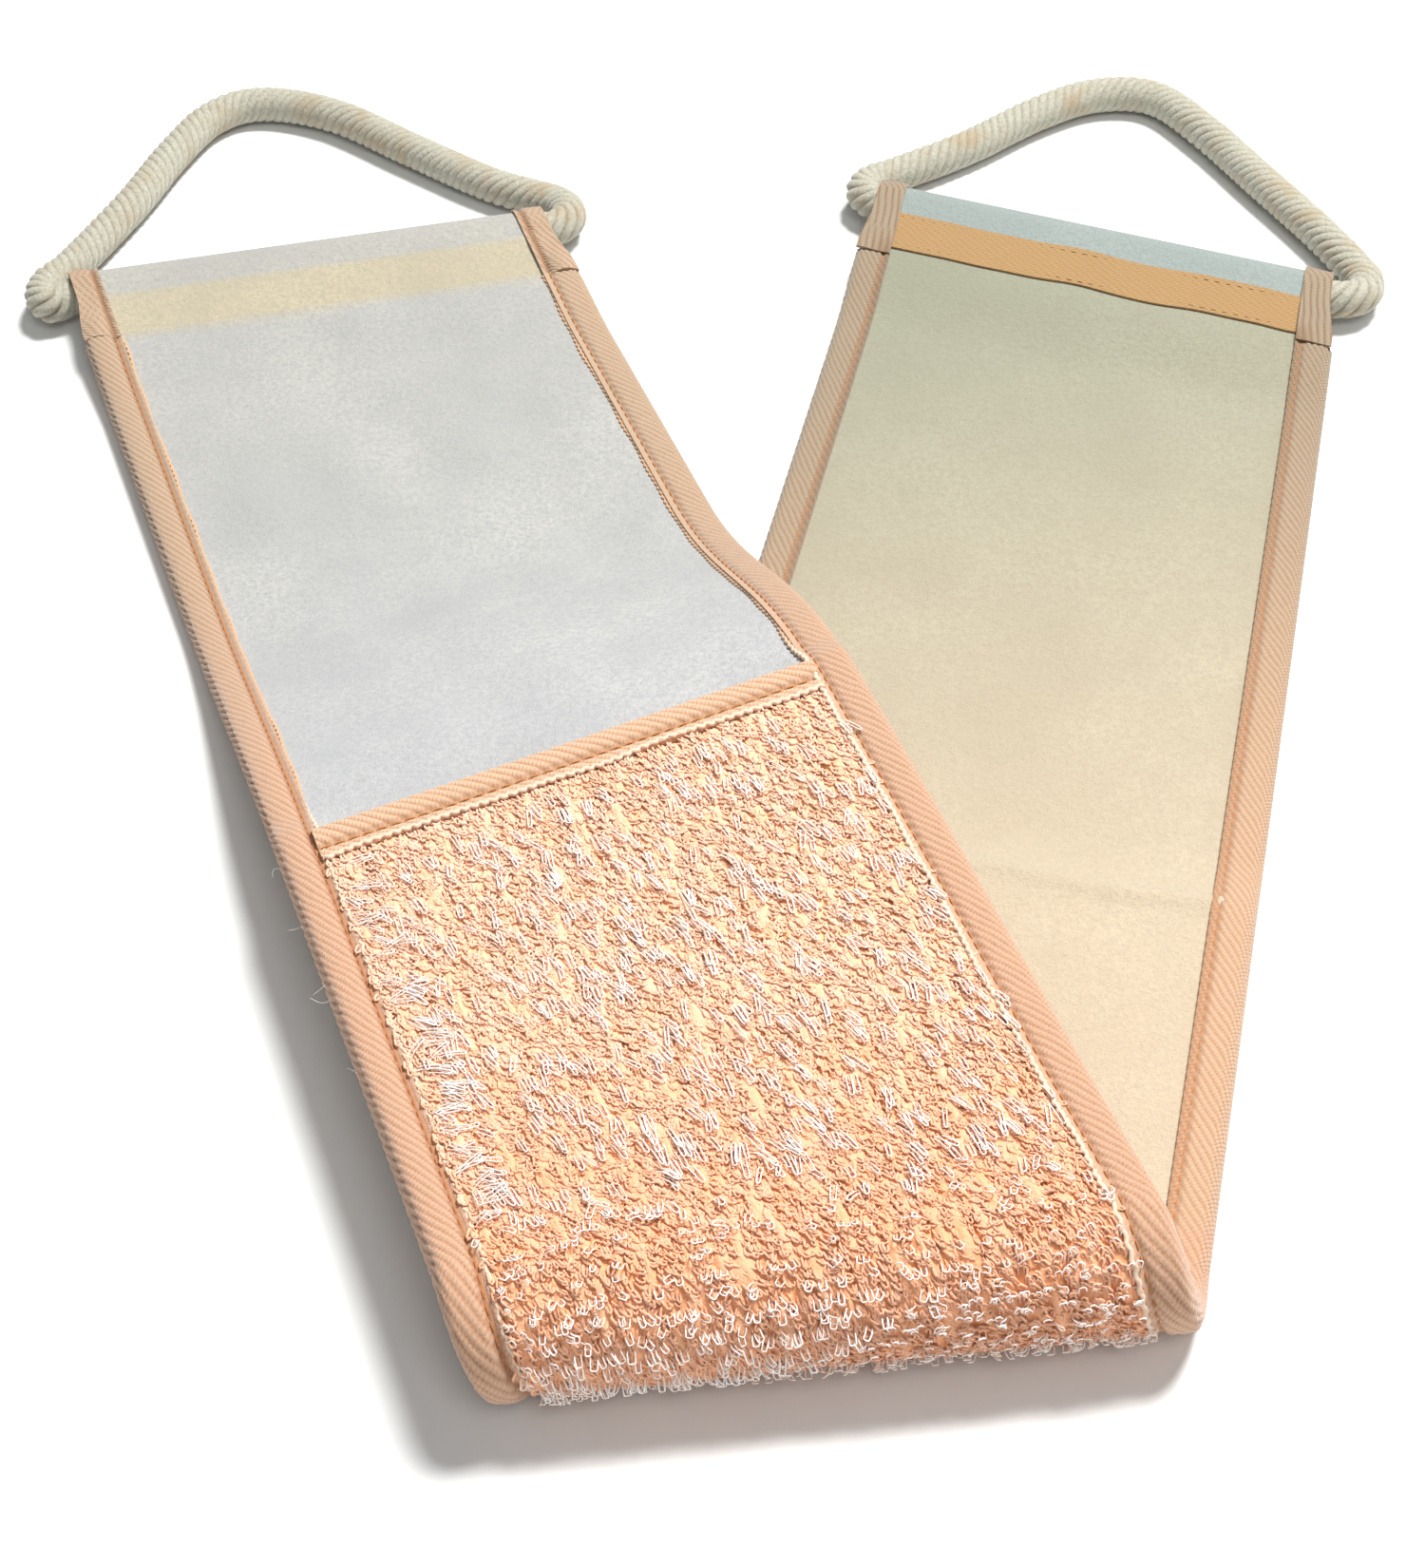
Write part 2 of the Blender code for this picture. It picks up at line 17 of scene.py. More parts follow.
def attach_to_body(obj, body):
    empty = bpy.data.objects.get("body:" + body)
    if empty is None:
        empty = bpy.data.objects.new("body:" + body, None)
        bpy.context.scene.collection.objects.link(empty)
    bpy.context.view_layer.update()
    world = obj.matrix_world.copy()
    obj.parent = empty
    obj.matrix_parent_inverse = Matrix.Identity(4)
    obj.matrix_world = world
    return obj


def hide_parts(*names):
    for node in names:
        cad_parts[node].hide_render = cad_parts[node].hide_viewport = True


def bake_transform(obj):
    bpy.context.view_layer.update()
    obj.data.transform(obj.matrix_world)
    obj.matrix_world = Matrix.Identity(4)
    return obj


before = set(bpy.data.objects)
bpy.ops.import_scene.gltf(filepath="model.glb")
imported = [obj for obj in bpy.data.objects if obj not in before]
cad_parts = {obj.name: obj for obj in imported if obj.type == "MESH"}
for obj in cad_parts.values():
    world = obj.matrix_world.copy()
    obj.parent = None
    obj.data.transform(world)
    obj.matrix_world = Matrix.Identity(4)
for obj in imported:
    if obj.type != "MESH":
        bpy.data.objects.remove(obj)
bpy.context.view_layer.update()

TURN = 2 * math.pi

# ---- the strap's shape, as in the part ----

STRAP_WIDTH = 0.110
HALF = STRAP_WIDTH / 2
FOLD_SLANT = math.radians(16.75)
FOLD_RADIUS = 0.0089
PANEL_LIFT = 0.0062
BARE_LIFT = 0.0035
HEM_LIFT = 0.0061
FOLD_POINT = (0.0060, -0.1465)
QUARTER_TURN = FOLD_RADIUS * math.pi / 2
FOLD_CENTRE = PANEL_LIFT + FOLD_RADIUS
FOLD_REACH = 0.0200
LEGS = {
    "front": {"length": 0.332, "panel": 0.1315, "side": -1, "askew": 0.20},
    "rear": {"length": 0.3105, "panel": 0.1105, "side": 1, "askew": 0.19},
}
CREST_LEFT, CREST_RIGHT = 0.0205, 0.0290
CREST_PLACE = 0.9
FRONT_DROP = 0.084
FRONT_REST = 0.0038
BARE_FROM, BARE_OVER = -0.0040, 0.0180
HEM_RISE_FROM, HEM_RISE_OVER = 0.050, 0.025

BINDING_WIDTH = 0.0080
CROSS_TAPE_WIDTH = 0.0095
TUNNEL_AXIS = 0.0070
ROPE_RADIUS = 0.0042
HEM_DEPTH = 0.0270
HEM_PINCH = 0.0016

# Levels of n, and the cloths' outline.
CLOTH = 0.0006  # thickness of a flannel
FACE_LEVEL = 0.0009  # the face cloth's inner side, and as far below the middle, the reverse cloth's
FACE_TOP = FACE_LEVEL + CLOTH
CLOTH_HALF = HALF - 0.0024
TAPE = 0.0006
TAPE_ON_PANEL, TAPE_ON_CLOTH = 0.0044, 0.0018
TAPE_UNDER = -0.0024
CROSS_TAPE_LEVEL = 0.0052
GROUND_LEVEL, GROUND_EDGE_LEVEL = 0.0017, 0.0030
COTTON_ROOT, NYLON_ROOT = 0.0042, 0.0048


def smooth(t):
    t = np.clip(t, 0.0, 1.0)
    return t * t * (3 - 2 * t)


def mix(a, b, t):
    return a + (b - a) * t


def by_leg(rear, key):
    return np.where(rear, LEGS["rear"][key], LEGS["front"][key])


def bare(s):
    """0 on the terry panel and 1 on the bare cloth past it."""
    return smooth((np.abs(s) - by_leg(s > 0, "panel") - BARE_FROM) / BARE_OVER)


def middle(s, v):
    """World points of the strap's middle layer."""
    cos, sin = math.cos(FOLD_SLANT), math.sin(FOLD_SLANT)
    rear = s * cos > v * sin
    side, length, panel = by_leg(rear, "side"), by_leg(rear, "length"), by_leg(rear, "panel")
    askew = by_leg(rear, "askew") * v * smooth((side * s - panel / 2) / (length - panel / 2))
    reach = side * s - askew
    from_fold = reach * cos - side * v * sin
    turn = np.minimum(from_fold / FOLD_RADIUS, math.pi / 2)
    past_fold = np.maximum(from_fold - QUARTER_TURN, 0.0)
    low = mix(PANEL_LIFT, BARE_LIFT, bare(np.where(rear, np.abs(s), -np.abs(s))))
    crest = mix(CREST_LEFT, CREST_RIGHT, v / STRAP_WIDTH + 0.5)
    high = mix(FOLD_CENTRE + FOLD_RADIUS, crest, smooth(past_fold / (CREST_PLACE * panel)))
    high = mix(high, FRONT_REST, smooth((side * s - panel) / FRONT_DROP))
    near_hem = smooth((side * s - length + HEM_RISE_FROM) / HEM_RISE_OVER)
    height = mix(np.where(rear, low, high), HEM_LIFT, near_hem)
    z = np.where(past_fold > 0, height, FOLD_CENTRE - side * FOLD_RADIUS * np.sin(turn))
    x = side * reach * sin + v * cos
    y = past_fold - FOLD_RADIUS * np.cos(turn)
    return np.stack([FOLD_POINT[0] + x, FOLD_POINT[1] + y, z], axis=-1)


def unit(a):
    return a / np.maximum(np.linalg.norm(a, axis=-1, keepdims=True), 1e-12)


def strap_frame(s, v):
    """World point of the middle layer and the unit directions along, across and out of it."""
    step = 0.0005
    along = unit(middle(s + step, v) - middle(s - step, v))
    across = unit(middle(s, v + step) - middle(s, v - step))
    return middle(s, v), along, across, unit(np.cross(along, across))


def strap(s, v, n):
    s, v, n = np.broadcast_arrays(np.asarray(s, float), np.asarray(v, float), np.asarray(n, float))
    place, _, _, out = strap_frame(s, v)
    return place + out * n[..., None]


def fold_end(side, v):
    """s where the rigid leg starts, along its slanted end at the fold."""
    return side * (FOLD_REACH + side * v * math.sin(FOLD_SLANT)) / math.cos(FOLD_SLANT)


def zone_length(zone, far):
    return 2 * FOLD_REACH if zone == "fold" else far - FOLD_REACH


def zone_line(zone, t, v, far):
    """s at share t of a zone's length, from its end nearest the front hem. far is where the zone ends on a
    leg, and unused at the fold."""
    if zone == "fold":
        return mix(fold_end(-1, v), fold_end(1, v), t)
    side = LEGS[zone]["side"]
    near, away = fold_end(side, v), side * far + 0 * v
    return mix(away, near, t) if side < 0 else mix(near, away, t)


def fold_distance(s, v):
    """Distance from the fold's slanted line, along the strap's surface."""
    return np.abs(s * math.cos(FOLD_SLANT) - v * math.sin(FOLD_SLANT))


def distance_along(line):
    return np.concatenate([[0], np.cumsum(np.linalg.norm(np.diff(line, axis=0), axis=1))])


# ---- making meshes ----


def new_mesh(name, points, quads, look, relief, uv=None):
    """A smooth mesh object from arrays of points and of four-cornered faces. uv and relief are given at each
    point: relief is 0 in a hollow and 1 on a high place, for the material to colour; the terry, twill and
    rope looks darken where it is low, mostly as painted shade."""
    mesh = bpy.data.meshes.new(name)
    mesh.vertices.add(len(points))
    mesh.vertices.foreach_set("co", np.ascontiguousarray(points, np.float32).ravel())
    mesh.loops.add(quads.size)
    mesh.loops.foreach_set("vertex_index", np.ascontiguousarray(quads, np.int32).ravel())
    mesh.polygons.add(len(quads))
    mesh.polygons.foreach_set("loop_start", np.arange(0, quads.size, 4, dtype=np.int32))
    mesh.polygons.foreach_set("loop_total", np.full(len(quads), 4, np.int32))
    if uv is not None:
        layer = mesh.uv_layers.new(name="Strap")
        layer.data.foreach_set("uv", np.ascontiguousarray(uv[quads.ravel()], np.float32).ravel())
    mesh.attributes.new("relief", "FLOAT", "POINT").data.foreach_set("value", relief.astype(np.float32))
    mesh.update(calc_edges=True)
    mesh.shade_smooth()
    mesh.materials.append(look)
    obj = bpy.data.objects.new(name, mesh)
    bpy.context.scene.collection.objects.link(obj)
    return obj


def grid_quads(rows, columns, start=0, flip=False, wrap=False):
    """Faces of a grid of points, rows x columns. wrap joins its last column to its first."""
    i, j = np.meshgrid(np.arange(rows - 1), np.arange(columns if wrap else columns - 1), indexing="ij")
    i, j = i.ravel(), j.ravel()
    k = (j + 1) % columns
    quads = np.stack([i * columns + j, i * columns + k, (i + 1) * columns + k, (i + 1) * columns + j], axis=1)
    return start + (quads[:, ::-1] if flip else quads)


def slab(name, upper, lower, uv, look, relief=1.0):
    """A closed sheet between two grids of points, rows x columns x 3, that share their outline. relief is for
    the upper side."""
    rows, columns = upper.shape[:2]
    count = rows * columns
    index = np.arange(count).reshape(rows, columns)
    rim = np.concatenate([index[0], index[1:, -1], index[-1, -2::-1], index[-2:0:-1, 0]])
    after = np.roll(rim, -1)
    sides = np.stack([rim, rim + count, after + count, after], axis=1)
    points = np.concatenate([upper.reshape(-1, 3), lower.reshape(-1, 3)])
    quads = np.concatenate([grid_quads(rows, columns), grid_quads(rows, columns, count, flip=True), sides])
    high = np.broadcast_to(relief, (rows, columns)).ravel()
    obj = new_mesh(name, points, quads, look, np.tile(high, 2), np.tile(uv.reshape(-1, 2), (2, 1)))
    obj.data.set_sharp_from_angle(angle=math.radians(60))
    return obj


def tubes(name, paths, radius, sides, look, capped=False, relief=1.0, core=None):
    """Round tubes along many paths at once, an array of paths x points x 3. radius and relief are one number
    or one for each point. core is the line that tubes are wound round: their relief rises away from it, and
    the rope's look paints shade where it is low."""
    count, steps = paths.shape[:2]
    radius = np.broadcast_to(radius, (count, steps))
    tangent = unit(np.gradient(paths, axis=1))
    steep = np.abs(tangent[:, 0, 2:]) > 0.8
    side_way = unit(np.cross(tangent[:, 0], np.where(steep, (1.0, 0.0, 0.0), (0.0, 0.0, 1.0))))
    rings = []
    for k in range(steps):
        side_way = unit(side_way - tangent[:, k] * np.sum(side_way * tangent[:, k], axis=1, keepdims=True))
        up_way = np.cross(tangent[:, k], side_way)
        angle = np.arange(sides) * TURN / sides
        ring = side_way[:, None] * np.cos(angle)[:, None] + up_way[:, None] * np.sin(angle)[:, None]
        rings.append(paths[:, k, None] + ring * radius[:, k, None, None])
    points = np.stack(rings, axis=1)
    one = grid_quads(steps, sides, wrap=True)
    if capped:
        points[:, 0] = paths[:, 0, None]
        points[:, -1] = paths[:, -1, None]
    quads = (np.arange(count)[:, None, None] * steps * sides + one).reshape(-1, 4)
    if core is None:
        high = np.broadcast_to(np.broadcast_to(relief, (count, steps))[..., None], points.shape[:3])
    else:
        reach = np.linalg.norm(points - core[None, :, None], axis=-1)
        high = np.clip((reach / reach.max() - 0.72) / 0.26, 0, 1)
    return new_mesh(name, points.reshape(-1, 3), quads, look, high.ravel())


def ripple(x, y, size, seed, waves=10):
    """Soft noise between about -1 and 1 over arrays x and y, with lumps of this size."""
    source = np.random.default_rng(seed)
    total = 0.0
    for _ in range(waves):
        angle, phase = source.uniform(0, TURN, 2)
        scale = source.uniform(0.6, 1.7) * math.pi / size
        total = total + np.sin((x * math.cos(angle) + y * math.sin(angle)) * scale + phase)
    return total / math.sqrt(waves)


# ---- materials ----


class Look:
    """A material whose nodes are added one call at a time."""

    def __init__(self, name, roughness, specular, sheen=0.0):
        self.material = bpy.data.materials.new(name)
        self.material.use_nodes = True
        self.tree = self.material.node_tree
        self.shader = self.tree.nodes["Principled BSDF"]
        self.shader.inputs["Roughness"].default_value = roughness
        self.shader.inputs["Sheen Weight"].default_value = sheen
        self.shader.inputs["Sheen Roughness"].default_value = 0.5
        self.shader.inputs["Specular IOR Level"].default_value = specular
        self.height = None

    def node(self, kind, **settings):
        made = self.tree.nodes.new("ShaderNode" + kind)
        for key, value in settings.items():
            setattr(made, key, value)
        return made

    def link(self, output, target):
        self.tree.links.new(output, target)

    def place(self, space, turn=0.0):
        """Texture coordinates: space is "Object" or "UV", both in metres."""
        source = self.node("TexCoord")
        mapping = self.node("Mapping")
        mapping.inputs["Rotation"].default_value = (0, 0, turn)
        self.link(source.outputs[space], mapping.inputs["Vector"])
        return mapping.outputs["Vector"]

    def share_of_y(self, start, end):
        """0 at y = start and 1 at y = end."""
        split = self.node("SeparateXYZ")
        self.link(self.node("TexCoord").outputs["Object"], split.inputs[0])
        share = self.node("MapRange", interpolation_type="SMOOTHSTEP")
        share.inputs["From Min"].default_value = start
        share.inputs["From Max"].default_value = end
        self.link(split.outputs["Y"], share.inputs["Value"])
        return share.outputs[0]

    def relief(self):
        return self.node("Attribute", attribute_name="relief").outputs["Fac"]

    def noise(self, place, scale, detail, roughness=0.6):
        made = self.node("TexNoise")
        made.inputs["Scale"].default_value = scale
        made.inputs["Detail"].default_value = detail
        made.inputs["Roughness"].default_value = roughness
        self.link(place, made.inputs["Vector"])
        return made.outputs["Fac"]

    def wave(self, place, scale, distortion, detail_scale):
        made = self.node("TexWave", wave_type="BANDS", bands_direction="X")
        made.inputs["Scale"].default_value = scale
        made.inputs["Distortion"].default_value = distortion
        made.inputs["Detail Scale"].default_value = detail_scale
        self.link(place, made.inputs["Vector"])
        return made.outputs["Fac"]

    def ramp(self, value, stops):
        """A smooth ramp through (position, colour) stops."""
        made = self.node("ValToRGB")
        elements = made.color_ramp.elements
        while len(elements) < len(stops):
            elements.new(0.5)
        for element, (position, colour) in zip(elements, stops):
            element.position = position
            element.color = (*colour, 1.0)
        self.link(value, made.inputs["Fac"])
        return made.outputs["Color"]

    def blended(self, share, first, second, mode="MIX"):
        made = self.node("Mix", data_type="RGBA", blend_type=mode)
        for value, key in ((share, 0), (first, 6), (second, 7)):
            if isinstance(value, (int, float)):
                made.inputs[key].default_value = value
            elif isinstance(value, tuple):
                made.inputs[key].default_value = (*value, 1.0)
            else:
                self.link(value, made.inputs[key])
        return made.outputs[2]

    def math(self, operation, *values):
        made = self.node("Math", operation=operation)
        for socket, value in zip(made.inputs, values):
            if isinstance(value, (int, float)):
                socket.default_value = value
            else:
                self.link(value, socket)
        return made.outputs[0]

    def colour(self, output):
        self.link(output, self.shader.inputs["Base Color"])

    def bump(self, height, depth):
        """Adds height, from 0 to 1, as relief of this depth in metres."""
        made = self.node("Bump")
        made.inputs["Strength"].default_value = 1.0
        made.inputs["Distance"].default_value = depth
        self.link(height, made.inputs["Height"])
        if self.height is not None:
            self.link(self.height, made.inputs["Normal"])
        self.height = made.outputs["Normal"]
        self.link(self.height, self.shader.inputs["Normal"])


def mixed(a, b, t):
    return tuple(mix(x, y, t) for x, y in zip(a, b))


def terry_look(name, light, deep, bed):
    """Cotton yarn in soft patches and with fine fibres, with painted shade: deeper in colour down in the pile
    and towards the fold.
    """
    look = Look(name, 0.9, sheen=0.15, specular=0.15)
    place = look.place("Object")
    patches = look.noise(place, 260, 4)
    yarn = look.ramp(patches, [(0.36, mixed(deep, light, 0.55)), (0.60, light)])
    # Painted shade: where the relief is low, down in the pile, the yarn takes the deep colour.
    down = look.ramp(look.relief(), [(0.0, (0, 0, 0)), (bed, (1, 1, 1))])
    base = look.blended(down, deep, yarn)
    # Painted shade: the terry is multiplied darker and deeper in colour towards the fold.
    shaded_tone = look.blended(1.0, base, (0.99, 0.86, 0.76), "MULTIPLY")
    look.colour(look.blended(look.share_of_y(-0.085, -0.155), base, shaded_tone))
    look.bump(look.noise(place, 1700, 4, 0.7), 0.00032)
    look.bump(look.noise(place, 5200, 2), 0.00006)
    return look.material


def nylon_look():
    look = Look("nylon_loop", 0.25, specular=0.6)
    tint = look.noise(look.place("Object"), 300, 2)
    look.colour(look.ramp(tint, [(0.35, (0.95, 0.79, 0.69)), (0.57, (0.99, 0.95, 0.93))]))
    look.shader.inputs["Coat Weight"].default_value = 0.4
    look.shader.inputs["Coat Roughness"].default_value = 0.2
    return look.material


def twill_look(name, light, dark, far=(1.0, 1.0, 1.0)):
    """Ribbed twill tape: dye and shade gather between the ribs, and fine yarns cross each one. far is painted
    shade: it darkens and tints the end of the tape that lies at the hem."""
    look = Look(name, 0.85, sheen=0.3, specular=0.15)
    yarns = look.wave(look.place("UV", turn=math.radians(-55)), 430, 3.0, 4.0)
    blotch = look.noise(look.place("Object"), 150, 4)
    rib = look.ramp(look.relief(), [(0.0, dark), (0.30, mixed(dark, light, 0.45)), (0.75, light)])
    shaded_tone = look.blended(look.math("MULTIPLY", yarns, 0.30), rib, mixed(dark, light, 0.45))
    base = look.blended(look.math("MULTIPLY", blotch, 0.30), shaded_tone, mixed(dark, light, 0.55))
    # Painted shade: the tape is multiplied by far towards the hem end.
    look.colour(look.blended(look.share_of_y(-0.10, 0.10), base, look.blended(1.0, base, far, "MULTIPLY")))
    look.bump(yarns, 0.00010)
    look.bump(look.noise(look.place("Object"), 4200, 2), 0.00006)
    return look.material


def flannel_look(name, light, shade, far, band=None):
    """Brushed cotton: a soft matted nap, under large blotches of painted shade. far is painted shade: it
    darkens and tints the end of the cloth that lies at the hem, and band is the colour of cloth that shows
    through where the relief is low."""
    look = Look(name, 0.95, sheen=0.4, specular=0.08)
    place = look.place("Object")
    mat = look.noise(place, 900, 5, 0.7)
    # Painted shade: large soft blotches pull the cloth towards its shade colour.
    shade_blotches = look.ramp(look.noise(place, 26, 4), [(0.35, (0, 0, 0)), (0.65, (0.8, 0.8, 0.8))])
    base = look.ramp(mat, [(0.35, shade), (0.62, light)])
    base = look.blended(shade_blotches, base, shade)
    # Painted shade: the cloth is multiplied by far towards the hem end.
    base = look.blended(look.share_of_y(-0.13, 0.15), base, look.blended(1.0, base, far, "MULTIPLY"))
    if band is not None:
        base = look.blended(look.relief(), look.blended(1.0, base, band, "MULTIPLY"), base)
    look.colour(base)
    look.bump(mat, 0.00035)
    look.bump(look.noise(place, 3600, 2), 0.00012)
    return look.material


def rope_look():
    look = Look("cotton_strand", 0.9, sheen=0.35, specular=0.1)
    place = look.place("Object")
    fibres = look.noise(place, 1500, 3)
    stains = look.noise(place, 110, 3)
    base = look.ramp(fibres, [(0.3, (0.32, 0.305, 0.24)), (0.6, (0.45, 0.44, 0.365))])
    base = look.blended(look.ramp(stains, [(0.50, (0, 0, 0)), (0.75, (1, 1, 1))]), base, (0.38, 0.30, 0.20))
    # Painted shade: dark brown in the gaps between the strands, where the relief is low.
    look.colour(look.blended(look.relief(), (0.14, 0.10, 0.06), base))
    look.bump(fibres, 0.0002)
    return look.material


def plain_look(name, colour, roughness):
    look = Look(name, roughness, sheen=0.2, specular=0.2)
    grain = look.noise(look.place("Object"), 2500, 2)
    look.colour(look.ramp(grain, [(0.3, mixed(colour, (0, 0, 0), 0.25)), (0.6, colour)]))
    look.bump(grain, 0.00006)
    return look.material


LOOKS = {
    # The terry's second colour is painted shade for the pile's hollows. The bed's colours are a little deeper
    # than the loops', as painted shade under the pile.
    "ground": terry_look("terry_ground", (0.94, 0.58, 0.39), (0.95, 0.48, 0.23), 0.75),
    "pile": terry_look("terry_pile", (0.94, 0.62, 0.47), (0.95, 0.52, 0.28), 0.8),
    "nylon": nylon_look(),
    # Each far is painted shade, for light falling off along the strap. The rear leg's tape is the same tape
    # with a stronger far.
    "tape": twill_look("twill_tape", (0.60, 0.38, 0.26), (0.32, 0.125, 0.045), far=(0.78, 0.92, 0.96)),
    "rear_tape": twill_look("rear_twill_tape", (0.58, 0.395, 0.265), (0.32, 0.13, 0.05),
                            far=(0.56, 0.67, 0.72)),
    # Painted light: the cross tape's look is a paler copy of the binding tape's.
    "cross": twill_look("cross_twill", (0.68, 0.46, 0.32), (0.36, 0.16, 0.06)),
    "selvedge": twill_look("tape_selvedge", (0.76, 0.59, 0.46), (0.52, 0.25, 0.09)),
    "hem": twill_look("hem_tape", (0.385, 0.245, 0.115), (0.30, 0.155, 0.05)),
    "white": flannel_look("white_flannel", (0.53, 0.535, 0.54), (0.40, 0.41, 0.435), far=(0.90, 0.88, 0.80),
                          band=(1.14, 1.02, 0.78)),
    # Painted shade: the rear face cloth, seen as the roll, is a darker copy of the white flannel.
    "roll": flannel_look("rolled_flannel", (0.36, 0.385, 0.365), (0.30, 0.33, 0.32), far=(0.90, 0.95, 0.94)),
    "cream": flannel_look("cream_flannel", (0.64, 0.535, 0.39), (0.55, 0.445, 0.32),
                          far=(0.49, 0.605, 0.615)),
    "wadding": plain_look("wadding_fibre", (0.80, 0.80, 0.77), 0.95),
    "thread": plain_look("sewing_thread", (0.46, 0.18, 0.05), 0.6),
    "hem_thread": plain_look("hem_thread", (0.46, 0.27, 0.11), 0.6),
    "rope": rope_look(),
    "whipping": plain_look("whipping_thread", (0.60, 0.52, 0.40), 0.7),
}

# ---- camera, light and floor ----

FLOOR_AT = (0.1, 0, -0.0003)
BACKDROP_LIGHT, SEEN_BACKDROP = 0.20, 0.90  # the second is added where the camera sees it
CAMERA_AT = (-0.0031, -0.4041, 0.4002)
CAMERA_YAW, CAMERA_PITCH, CAMERA_ROLL = (math.radians(a) for a in (3.561, 46.311, -2.652))


def make_camera():
    lens = bpy.data.cameras.new("photo_camera")
    lens.sensor_width = 36.0
    lens.lens = 65.74
    lens.shift_x, lens.shift_y = -0.0873, -0.0055
    lens.clip_start, lens.clip_end = 0.01, 50.0
    camera = bpy.data.objects.new("photo_camera", lens)
    level_ahead = Vector((math.sin(CAMERA_YAW), math.cos(CAMERA_YAW), 0))
    level_right = Vector((math.cos(CAMERA_YAW), -math.sin(CAMERA_YAW), 0))
    ahead = level_ahead * math.cos(CAMERA_PITCH) - Vector((0, 0, math.sin(CAMERA_PITCH)))
    above = level_ahead * math.sin(CAMERA_PITCH) + Vector((0, 0, math.cos(CAMERA_PITCH)))
    right = level_right * math.cos(CAMERA_ROLL) + above * math.sin(CAMERA_ROLL)
    up = above * math.cos(CAMERA_ROLL) - level_right * math.sin(CAMERA_ROLL)
    camera.matrix_world = Matrix.Translation(CAMERA_AT) @ Matrix((right, up, -ahead)).transposed().to_4x4()
    bpy.context.scene.collection.objects.link(camera)
    bpy.context.scene.camera = camera


def area_light(name, place, target, size, power, colour):
    lamp = bpy.data.lights.new(name, "AREA")
    lamp.shape = "DISK"
    lamp.size = size
    lamp.energy = power
    lamp.color = colour
    obj = bpy.data.objects.new(name, lamp)
    obj.location = place
    obj.rotation_euler = (Vector(target) - Vector(place)).to_track_quat("-Z", "Y").to_euler()
    bpy.context.scene.collection.objects.link(obj)


def make_stage():
    """A round pale floor, the lights and a white backdrop."""
    floor_look = Look("pale_floor", 0.9, specular=0.1)
    grain = floor_look.noise(floor_look.place("Object"), 30, 2)
    floor_look.colour(floor_look.ramp(grain, [(0.3, (0.91, 0.92, 0.92)), (0.7, (0.93, 0.94, 0.94))]))
    bpy.ops.mesh.primitive_circle_add(vertices=128, radius=0.8, fill_type="NGON", location=FLOOR_AT)
    floor = bpy.context.object
    floor.name = "floor"
    floor.data.materials.append(floor_look.material)
    area_light("key", (0.50, 0.34, 1.44), (0, -0.04, 0), 0.50, 42.0, (1.0, 0.99, 0.97))
    area_light("front_fill", (0.22, -0.91, 1.35), (0, -0.10, 0), 0.7, 5.5, (1.0, 0.98, 0.95))
    world = bpy.data.worlds.new("studio")
    world.use_nodes = True
    tree = world.node_tree
    backdrop = tree.nodes["Background"]
    backdrop.inputs["Color"].default_value = (0.93, 0.97, 1.0, 1)
    brightness = tree.nodes.new("ShaderNodeMath")
    brightness.operation = "MULTIPLY_ADD"
    brightness.inputs[1].default_value = SEEN_BACKDROP
    brightness.inputs[2].default_value = BACKDROP_LIGHT
    tree.links.new(tree.nodes.new("ShaderNodeLightPath").outputs["Is Camera Ray"], brightness.inputs[0])
    tree.links.new(brightness.outputs[0], backdrop.inputs["Strength"])
    bpy.context.scene.world = world
    bpy.context.scene.view_settings.view_transform = "Standard"


# ---- the ropes ----

# Places along a rope as (along the hem from its middle, out past the strap's end).
IN_TUNNEL = [(0.0003, -TUNNEL_AXIS), (0.0120, -TUNNEL_AXIS), (0.0300, -TUNNEL_AXIS), (0.0470, -TUNNEL_AXIS)]
CURL = [(0.0556, -0.0068), (0.0600, -0.0038), (0.0602, 0.0016), (0.0566, 0.0068)]
LOW_CURL = [(0.0552, -0.0070), (0.0598, -0.0092), (0.0618, -0.0052), (0.0602, 0.0008), (0.0558, 0.0062)]
FRONT_ARCH = [(0.0440, 0.0168), (0.0270, 0.0355), (0.0090, 0.0555), (-0.0080, 0.0648), (-0.0205, 0.0618),
              (-0.0305, 0.0485), (-0.0415, 0.0285)]
REAR_ARCH = [(0.0440, 0.0190), (0.0265, 0.0335), (0.0080, 0.0488), (-0.0080, 0.0586), (-0.0220, 0.0552),
             (-0.0330, 0.0430), (-0.0440, 0.0240)]


def mirrored(route):
    return [(-a, b) for a, b in reversed(route)]


ROPE_ROUTE = {
    "front": CURL + FRONT_ARCH + mirrored(LOW_CURL),
    "rear": CURL + REAR_ARCH + mirrored(CURL),
}
ROPE_DROP = 0.018
STRANDS = 6
STRAND_RADIUS = 0.00150
LAY = 0.0150  # length of one full turn of a strand
SPLICE_HALF, SPLICE_TURNS = 0.0105, 24


def hem_frame(leg):
    """The tunnel's middle, the direction along it towards the right edge, and the way out past the end."""
    side, length = LEGS[leg]["side"], LEGS[leg]["length"]
    ends = middle(np.full(2, side * (length - TUNNEL_AXIS)), np.array([-HALF, HALF]))
    along = unit(ends[1] - ends[0])
    return ends.mean(axis=0), along, unit(np.array([-along[1], along[0], 0.0]))


